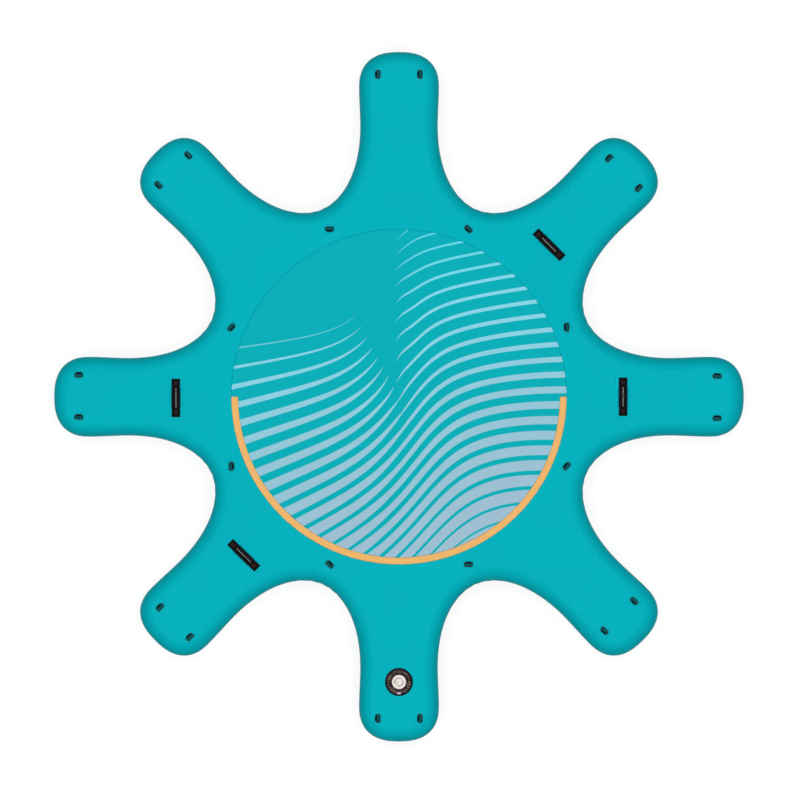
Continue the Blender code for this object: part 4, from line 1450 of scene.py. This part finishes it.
def past(length, limit):
    """How far a length, on either side of nothing, goes past a limit."""
    return calc("MAXIMUM", calc("SUBTRACT", calc("ABSOLUTE", length), limit), 0.0)


rim_inner = VALVE_PATCH_OUTER - PATCH_RIM_WIDTH
patch_section = [(VALVE_PATCH_INNER, VALVE_PATCH_LOW), (VALVE_PATCH_OUTER, VALVE_PATCH_LOW)]
patch_section += top_corner(
    VALVE_PATCH_OUTER, VALVE_PATCH_HIGH, VALVE_PATCH_ROUND, 0, 90, VALVE_ROUND_STEPS,
)
patch_section += reversed(fine_groove(rim_inner, VALVE_PATCH_HIGH))
patch_section.append((VALVE_PATCH_INNER, VALVE_PATCH_HIGH))
valve_patch = turned_piece("valve_patch_printed", patch_section, VALVE_STEPS, VALVE_CENTRE)
smooth_shade(valve_patch, 30.0)
patch_finish, shader, place = new_finish("valve_patch_print", roughness=0.55, gloss=0.06)
scuffs(place, shader, PATCH_GRAIN_DEPTH)
x, y, radius = from_valve(place)
mottle = ramped(noise(place, MOTTLE_LUMPS, detail=4.0), MOTTLE_START, MOTTLE_RATE)
turns = calc("DIVIDE", calc("ARCTAN2", y, x), math.tau / TICKS)
tick = calc("LESS_THAN", calc("FRACT", calc("ADD", turns, 0.5 * TICK_SHARE)), TICK_SHARE)
for side, edge in (("GREATER_THAN", TICK_INNER), ("LESS_THAN", TICK_OUTER)):
    tick = calc("MULTIPLY", tick, calc(side, radius, edge))
tick = calc("MULTIPLY", tick, calc("MULTIPLY_ADD", mottle, *MARK_WEAR))
label_x = past(x, LABEL_LENGTH / 2.0 - LABEL_CORNER)
label_y = past(calc("ADD", y, LABEL_REACH), LABEL_WIDTH / 2.0 - LABEL_CORNER)
label = calc("LESS_THAN", distance_off(label_x, label_y), LABEL_CORNER)
on_rim = ramped(radius, rim_inner, 1.0 / PATCH_RIM_SOFT)
colour = blend_colours(mottle, display_colour(PATCH_DARK), display_colour(PATCH_BROWN))
for share, shade in ((tick, PATCH_MARK), (label, PATCH_LABEL), (on_rim, PATCH_RIM)):
    colour = blend_colours(share, colour, display_colour(shade))
feed(shader["Base Color"], colour)
finish_piece(valve_patch, patch_finish, "platform", "valve_patch")

# Valve body. It is an off-white moulded barrel whose flange lies on the deck. Inside are a
# ledge for the cap's seal, and a seat whose three-armed spider guides the stem.
FLANGE_RADIUS = 0.0295
FLANGE_HIGH = 0.1553
FLANGE_ROUND = 0.0015
BARREL_RADIUS = 0.0225
BARREL_LOW = 0.1170
BORE = 0.0165
RECESS = 0.0193
RECESS_ROUND = 0.0005
LEDGE_Z = 0.1518
SEAT_HIGH = 0.1290
SEAT_LOW = 0.1265
SEAT_LIP_RADIUS = 0.0115
SEAT_LIP_ROUND = 0.0006
HUB_BORE = 0.0028
HUB_RADIUS = 0.0044
HUB_HIGH = 0.1300
SPIDER_ARMS = 3
SPIDER_ARM_WIDTH = 0.0022
SPIDER_ARM_HEIGHT = 0.0019
SPIDER_ARM_ROUND = 0.0003
GROOVE_RADIUS = 0.0229
WRENCH_NOTCHES = 12
NOTCH_INNER = 0.0243
NOTCH_OUTER = 0.0272
NOTCH_DEPTH = 0.0009
NOTCH_STEPS_WIDE = 4
VALVE_WHITE = (236, 230, 224)
VALVE_GREYED = (212, 206, 200)
VALVE_FINE_STEPS = 144
STEM_STEPS = 48


def valve_sector(face, steps):
    """A face's distance from the valve's axis, and which of so many equal sectors it is in."""
    middle = face.calc_center_median() - Vector((*VALVE_CENTRE, 0.0))
    turn = math.atan2(middle.y, middle.x) / math.tau
    return math.hypot(middle.x, middle.y), math.floor(turn * steps)


def in_wrench_notch(face):
    """Whether a face lies in one of the shallow notches in the flange's top."""
    radius, sector = valve_sector(face, VALVE_FINE_STEPS)
    in_notch = sector % (VALVE_FINE_STEPS // WRENCH_NOTCHES) < NOTCH_STEPS_WIDE
    return face.normal.z > LEVEL_NORMAL and NOTCH_INNER < radius < NOTCH_OUTER and in_notch


VALVE_PLASTIC = moulded_plastic("valve_plastic", VALVE_WHITE, VALVE_GREYED, roughness=0.38, gloss=0.30)
flange_section = [
    (BARREL_RADIUS, PAD_LOW), (BARREL_RADIUS, BARREL_LOW), (BORE, BARREL_LOW),
    (BORE, SEAT_LOW), (SEAT_LIP_RADIUS, SEAT_LOW),
]
flange_section += top_corner(SEAT_LIP_RADIUS, SEAT_HIGH, SEAT_LIP_ROUND, 180, 90, FEW_ROUND_STEPS)
flange_section += [(BORE, SEAT_HIGH), (BORE, LEDGE_Z), (RECESS, LEDGE_Z)]
flange_section += top_corner(RECESS, FLANGE_HIGH, RECESS_ROUND, 180, 90, FEW_ROUND_STEPS)
flange_section += fine_groove(GROOVE_RADIUS, FLANGE_HIGH)
flange_section += [(NOTCH_INNER, FLANGE_HIGH), (NOTCH_OUTER, FLANGE_HIGH)]
flange_section += top_corner(FLANGE_RADIUS, FLANGE_HIGH, FLANGE_ROUND, 90, 0)
flange_section += [(FLANGE_RADIUS, PAD_LOW)]
valve_body = turned_piece("valve_barrel", flange_section, VALVE_FINE_STEPS, VALVE_CENTRE)
open_edit(valve_body)
pick(valve_body, "FACE", in_wrench_notch)
bpy.ops.mesh.extrude_region_move(TRANSFORM_OT_translate={"value": (0.0, 0.0, -NOTCH_DEPTH)})
close_edit()
hub = turned_piece(
    "spider_hub",
    [(HUB_BORE, HUB_HIGH), (HUB_RADIUS, HUB_HIGH), (HUB_RADIUS, SEAT_LOW), (HUB_BORE, SEAT_LOW)],
    STEM_STEPS, VALVE_CENTRE,
)
spider_parts = [hub]
arm_start, arm_end = (HUB_BORE + HUB_RADIUS) / 2.0, (SEAT_LIP_RADIUS + BORE) / 2.0
for number in range(SPIDER_ARMS):
    bpy.ops.mesh.primitive_cube_add(size=1.0)
    arm = just_made(f"spider_arm_{number}")
    arm.scale = (arm_end - arm_start, SPIDER_ARM_WIDTH, SPIDER_ARM_HEIGHT)
    arm.location.x = (arm_start + arm_end) / 2.0
    settle(arm)
    open_edit(arm, "SELECT")
    bpy.ops.mesh.bevel(offset=SPIDER_ARM_ROUND, segments=FEW_ROUND_STEPS, affect="EDGES")
    close_edit()
    arm.rotation_euler.z = math.tau * number / SPIDER_ARMS
    arm.location = (VALVE_X, VALVE_Y, (SEAT_HIGH + SEAT_LOW) / 2.0)
    settle(arm)
    spider_parts.append(arm)
unite(valve_body, *spider_parts)
smooth_shade(valve_body, 30.0)
finish_piece(valve_body, VALVE_PLASTIC, "platform", "valve_body")

# Valve nut. A flat ring nut is screwed up the barrel from inside the chamber, and clamps
# the deck sheet against the flange. Six lugs let a spanner hold it.
NUT_INNER = 0.0228
NUT_OUTER = 0.0296
NUT_LOW = 0.1412
NUT_HIGH = 0.1482
NUT_CHAMFER = 0.0004
NUT_STEPS = 72
NUT_LUGS = 6
LUG_SINK = 0.0012


def between_lugs(face):
    """Whether a face of the nut's outer side lies between two of its lugs."""
    radius, sector = valve_sector(face, NUT_STEPS)
    lug_pitch = NUT_STEPS // NUT_LUGS
    on_outer_side = abs(face.normal.z) < UPRIGHT_NORMAL and radius > (NUT_INNER + NUT_OUTER) / 2.0
    return on_outer_side and sector % lug_pitch < lug_pitch // 2


nut_section = [
    (NUT_INNER, NUT_LOW), (NUT_INNER, NUT_HIGH),
    (NUT_OUTER - NUT_CHAMFER, NUT_HIGH), (NUT_OUTER, NUT_HIGH - NUT_CHAMFER),
    (NUT_OUTER, NUT_LOW + NUT_CHAMFER), (NUT_OUTER - NUT_CHAMFER, NUT_LOW),
]
nut = turned_piece("valve_ring_nut", nut_section, NUT_STEPS, VALVE_CENTRE)
open_edit(nut)
pick(nut, "FACE", between_lugs)
bpy.ops.mesh.extrude_region_shrink_fatten(TRANSFORM_OT_shrink_fatten={"value": -LUG_SINK})
close_edit()
face_outwards(nut)
smooth_shade(nut, 30.0)
finish_piece(nut, VALVE_PLASTIC, "platform", "valve_nut")

# Diaphragm, stem and spring. A black rubber disc under the seat holds the air in. The
# sprung stem pulls it up, and a push on the stem's head opens it.
DIAPHRAGM_RADIUS = 0.0145
DIAPHRAGM_LOW = 0.1242
DIAPHRAGM_HIGH = 0.1262
DIAPHRAGM_ROUND = 0.0006
DIAPHRAGM_TAPER = (0.0020, 0.0008)
STEM_RADIUS = 0.0025
STEM_HEAD_RADIUS = 0.0050
STEM_HEAD_LOW = 0.1400
STEM_HEAD_HIGH = 0.1425
STEM_HEAD_ROUND = 0.0006
STEM_HEAD_DISH = ((0.0, 0.0004), (0.6, 0.0002), (0.75, 0.0))
STEM_FOOT_RADIUS = 0.0045
STEM_FOOT_LOW = 0.1215
STEM_FOOT_HIGH = 0.1239
STEM_FOOT_CHAMFER = 0.0005
SPRING_RADIUS = 0.0039
SPRING_WIRE = 0.0007
SPRING_LOW = 0.13065
SPRING_HIGH = 0.13935
SPRING_TURNS = 5
SPRING_POINTS_PER_TURN = 24
SPRING_WIRE_RESOLUTION = 2
RUBBER_BLACK = (26, 26, 28)
RUBBER_BLOOM = (58, 58, 60)
STEEL_DULL = (186, 187, 190)
STEEL_BRIGHT = (214, 214, 216)
STEEL_LUMPS = 900.0
STEEL_ROUGHNESS = (0.2, 0.2)

RUBBER = moulded_plastic("seal_rubber", RUBBER_BLACK, RUBBER_BLOOM, roughness=0.6, gloss=0.3)
diaphragm_section = [(HUB_BORE, DIAPHRAGM_LOW), (HUB_BORE, DIAPHRAGM_HIGH)]
diaphragm_section += top_corner(
    DIAPHRAGM_RADIUS, DIAPHRAGM_HIGH, DIAPHRAGM_ROUND, 90, 0, VALVE_ROUND_STEPS,
)
diaphragm_section += [
    (DIAPHRAGM_RADIUS, DIAPHRAGM_LOW + DIAPHRAGM_TAPER[1]),
    (DIAPHRAGM_RADIUS - DIAPHRAGM_TAPER[0], DIAPHRAGM_LOW),
]
diaphragm = turned_piece("valve_rubber_disc", diaphragm_section, VALVE_STEPS, VALVE_CENTRE)
smooth_shade(diaphragm, 40.0)
finish_piece(diaphragm, RUBBER, "valve_diaphragm", "valve_diaphragm")

stem_section = [
    (STEM_HEAD_RADIUS * share, STEM_HEAD_HIGH - depth) for share, depth in STEM_HEAD_DISH
]
stem_section += top_corner(
    STEM_HEAD_RADIUS, STEM_HEAD_HIGH, STEM_HEAD_ROUND, 90, 0, VALVE_ROUND_STEPS,
)
stem_section += [
    (STEM_HEAD_RADIUS, STEM_HEAD_LOW), (STEM_RADIUS, STEM_HEAD_LOW),
    (STEM_RADIUS, STEM_FOOT_HIGH), (STEM_FOOT_RADIUS, STEM_FOOT_HIGH),
    (STEM_FOOT_RADIUS, STEM_FOOT_LOW + STEM_FOOT_CHAMFER),
    (STEM_FOOT_RADIUS - STEM_FOOT_CHAMFER, STEM_FOOT_LOW), (0.0, STEM_FOOT_LOW),
]
stem = turned_piece("valve_push_stem", stem_section, STEM_STEPS, VALVE_CENTRE)
smooth_shade(stem)
finish_piece(stem, VALVE_PLASTIC, "valve_stem", "valve_stem")

coil = []
point_count = SPRING_TURNS * SPRING_POINTS_PER_TURN
for number in range(point_count + 1):
    angle = math.tau * number / SPRING_POINTS_PER_TURN
    coil.append((
        VALVE_X + SPRING_RADIUS * math.cos(angle), VALVE_Y + SPRING_RADIUS * math.sin(angle),
        SPRING_LOW + (SPRING_HIGH - SPRING_LOW) * number / point_count,
    ))
spring = round_wire("valve_coil_spring", [coil], SPRING_WIRE / 2.0, SPRING_WIRE_RESOLUTION)
SPRING_STEEL, shader, place = new_finish("spring_steel", roughness=0.3, gloss=0.5, metallic=1.0)
drawn = noise(place, STEEL_LUMPS, detail=3.0)
paint(shader, drawn, STEEL_DULL, STEEL_BRIGHT)
feed(shader["Roughness"], calc("MULTIPLY_ADD", drawn, *STEEL_ROUGHNESS))
spring.data.materials.append(SPRING_STEEL)
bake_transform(spring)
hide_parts("valve_spring")

# Cap and seal. The cap plugs the barrel and presses a flat rubber seal on the ledge. It is
# dished, with a bar across it to turn it by. Its colour is greyed in a ring on both sides of
# the bar: painted shade of the dish, with a little real dust where it is scuffed.
SEAL_INNER = 0.0168
SEAL_OUTER = 0.0190
SEAL_LOW = 0.1521
SEAL_HIGH = 0.1530
SEAL_CHAMFER = 0.0002
CAP_RIM = 0.0188
CAP_RIM_LOW = 0.1533
CAP_RIM_ROUND = 0.0008
CAP_HIGH = 0.1571
CAP_SKIRT_OUTER = 0.0160
CAP_SKIRT_INNER = 0.0140
CAP_SKIRT_LOW = 0.1492
CAP_SKIRT_CHAMFER = 0.0004
CAP_DISH_RADIUS = 0.0172
CAP_DISH_FOOT = 0.0170
CAP_DISH_FLOOR = 0.0164
CAP_DISH_DEPTH = 0.0022
CAP_DISH_SOFT = 0.0003
CAP_BAR_LENGTH = 0.028
CAP_BAR_TURN = math.radians(45.0)
CAP_BAR_WIDTH = 0.005
CAP_BAR_CORNER = 0.0015
CAP_BAR_SINK = 0.0003
CAP_BAR_HIGH = 0.1601
CAP_BAR_ROUND = 0.0009
# The grey ring beside the bar is painted shade in the dish; the scuffs add real dust.
CAP_DUST_AND_SHADE = (128, 122, 118)
CAP_SHADE_RING_RADIUS = 0.0165
CAP_SHADE_RING_REACH = 0.0055
CAP_SHADE_FROM_BAR = 0.012
CAP_DUST_MIDDLE = 0.22
CAP_DUST_AND_SHADE_LUMPS = 160.0
CAP_DUST_AND_SHADE_PATCHES = (1.2, 0.1)

seal_section = [
    (SEAL_INNER, SEAL_LOW + SEAL_CHAMFER), (SEAL_INNER, SEAL_HIGH - SEAL_CHAMFER),
    (SEAL_INNER + SEAL_CHAMFER, SEAL_HIGH), (SEAL_OUTER - SEAL_CHAMFER, SEAL_HIGH),
    (SEAL_OUTER, SEAL_HIGH - SEAL_CHAMFER), (SEAL_OUTER, SEAL_LOW + SEAL_CHAMFER),
    (SEAL_OUTER - SEAL_CHAMFER, SEAL_LOW), (SEAL_INNER + SEAL_CHAMFER, SEAL_LOW),
]
seal = turned_piece("cap_flat_seal", seal_section, VALVE_STEPS, VALVE_CENTRE)
smooth_shade(seal, 50.0)
finish_piece(seal, RUBBER, "cap_seal", "cap_seal")

dish_z = CAP_HIGH - CAP_DISH_DEPTH
cap_section = [
    (0.0, dish_z), (CAP_DISH_FLOOR, dish_z), (CAP_DISH_FOOT, dish_z + CAP_DISH_SOFT),
    (CAP_DISH_RADIUS, CAP_HIGH - CAP_DISH_SOFT), (CAP_DISH_RADIUS + CAP_DISH_SOFT, CAP_HIGH),
]
cap_section += top_corner(CAP_RIM, CAP_HIGH, CAP_RIM_ROUND, 90, 0)
cap_section += [
    (CAP_RIM, CAP_RIM_LOW), (CAP_SKIRT_OUTER, CAP_RIM_LOW),
    (CAP_SKIRT_OUTER, CAP_SKIRT_LOW + CAP_SKIRT_CHAMFER),
    (CAP_SKIRT_OUTER - CAP_SKIRT_CHAMFER, CAP_SKIRT_LOW), (CAP_SKIRT_INNER, CAP_SKIRT_LOW),
    (CAP_SKIRT_INNER, CAP_RIM_LOW), (0.0, CAP_RIM_LOW),
]
cap = turned_piece("valve_screw_cap", cap_section, VALVE_STEPS, VALVE_CENTRE)
bar = rounded_plate(
    "cap_bar", CAP_BAR_LENGTH, CAP_BAR_WIDTH, CAP_BAR_CORNER, dish_z - CAP_BAR_SINK, CAP_BAR_HIGH,
    CAP_BAR_ROUND,
)
bar.rotation_euler.z = CAP_BAR_TURN
bar.location = (VALVE_X, VALVE_Y, 0.0)
settle(bar)
unite(cap, bar)
smooth_shade(cap, 30.0)
cap_finish, shader, place = new_finish("dusty_cap_plastic", roughness=0.40, gloss=0.30)
scuff = scuffs(place, shader)
x, y, radius = from_valve(place)
# Painted shade: the dish is greyed in a ring on both sides of the bar, where shade falls in it, and
# scuffs add a little dust.
off_ring = calc("ABSOLUTE", calc("SUBTRACT", radius, CAP_SHADE_RING_RADIUS))
in_shaded_ring = clamped(calc("SUBTRACT", 1.0, calc("DIVIDE", off_ring, CAP_SHADE_RING_REACH)))
off_bar = calc(
    "SUBTRACT",
    calc("MULTIPLY", y, math.cos(CAP_BAR_TURN)), calc("MULTIPLY", x, math.sin(CAP_BAR_TURN)),
)
shade_beside_bar = clamped(calc("DIVIDE", calc("ABSOLUTE", off_bar), CAP_SHADE_FROM_BAR))
greying = calc("MULTIPLY_ADD", scuff, CAP_DUST_MIDDLE, calc("MULTIPLY", in_shaded_ring, shade_beside_bar))
patches = calc("MULTIPLY_ADD", noise(place, CAP_DUST_AND_SHADE_LUMPS, detail=3.0), *CAP_DUST_AND_SHADE_PATCHES)
paint(shader, clamped(calc("MULTIPLY", greying, patches)), VALVE_WHITE, CAP_DUST_AND_SHADE)
finish_piece(cap, cap_finish, "valve_cap", "valve_cap")
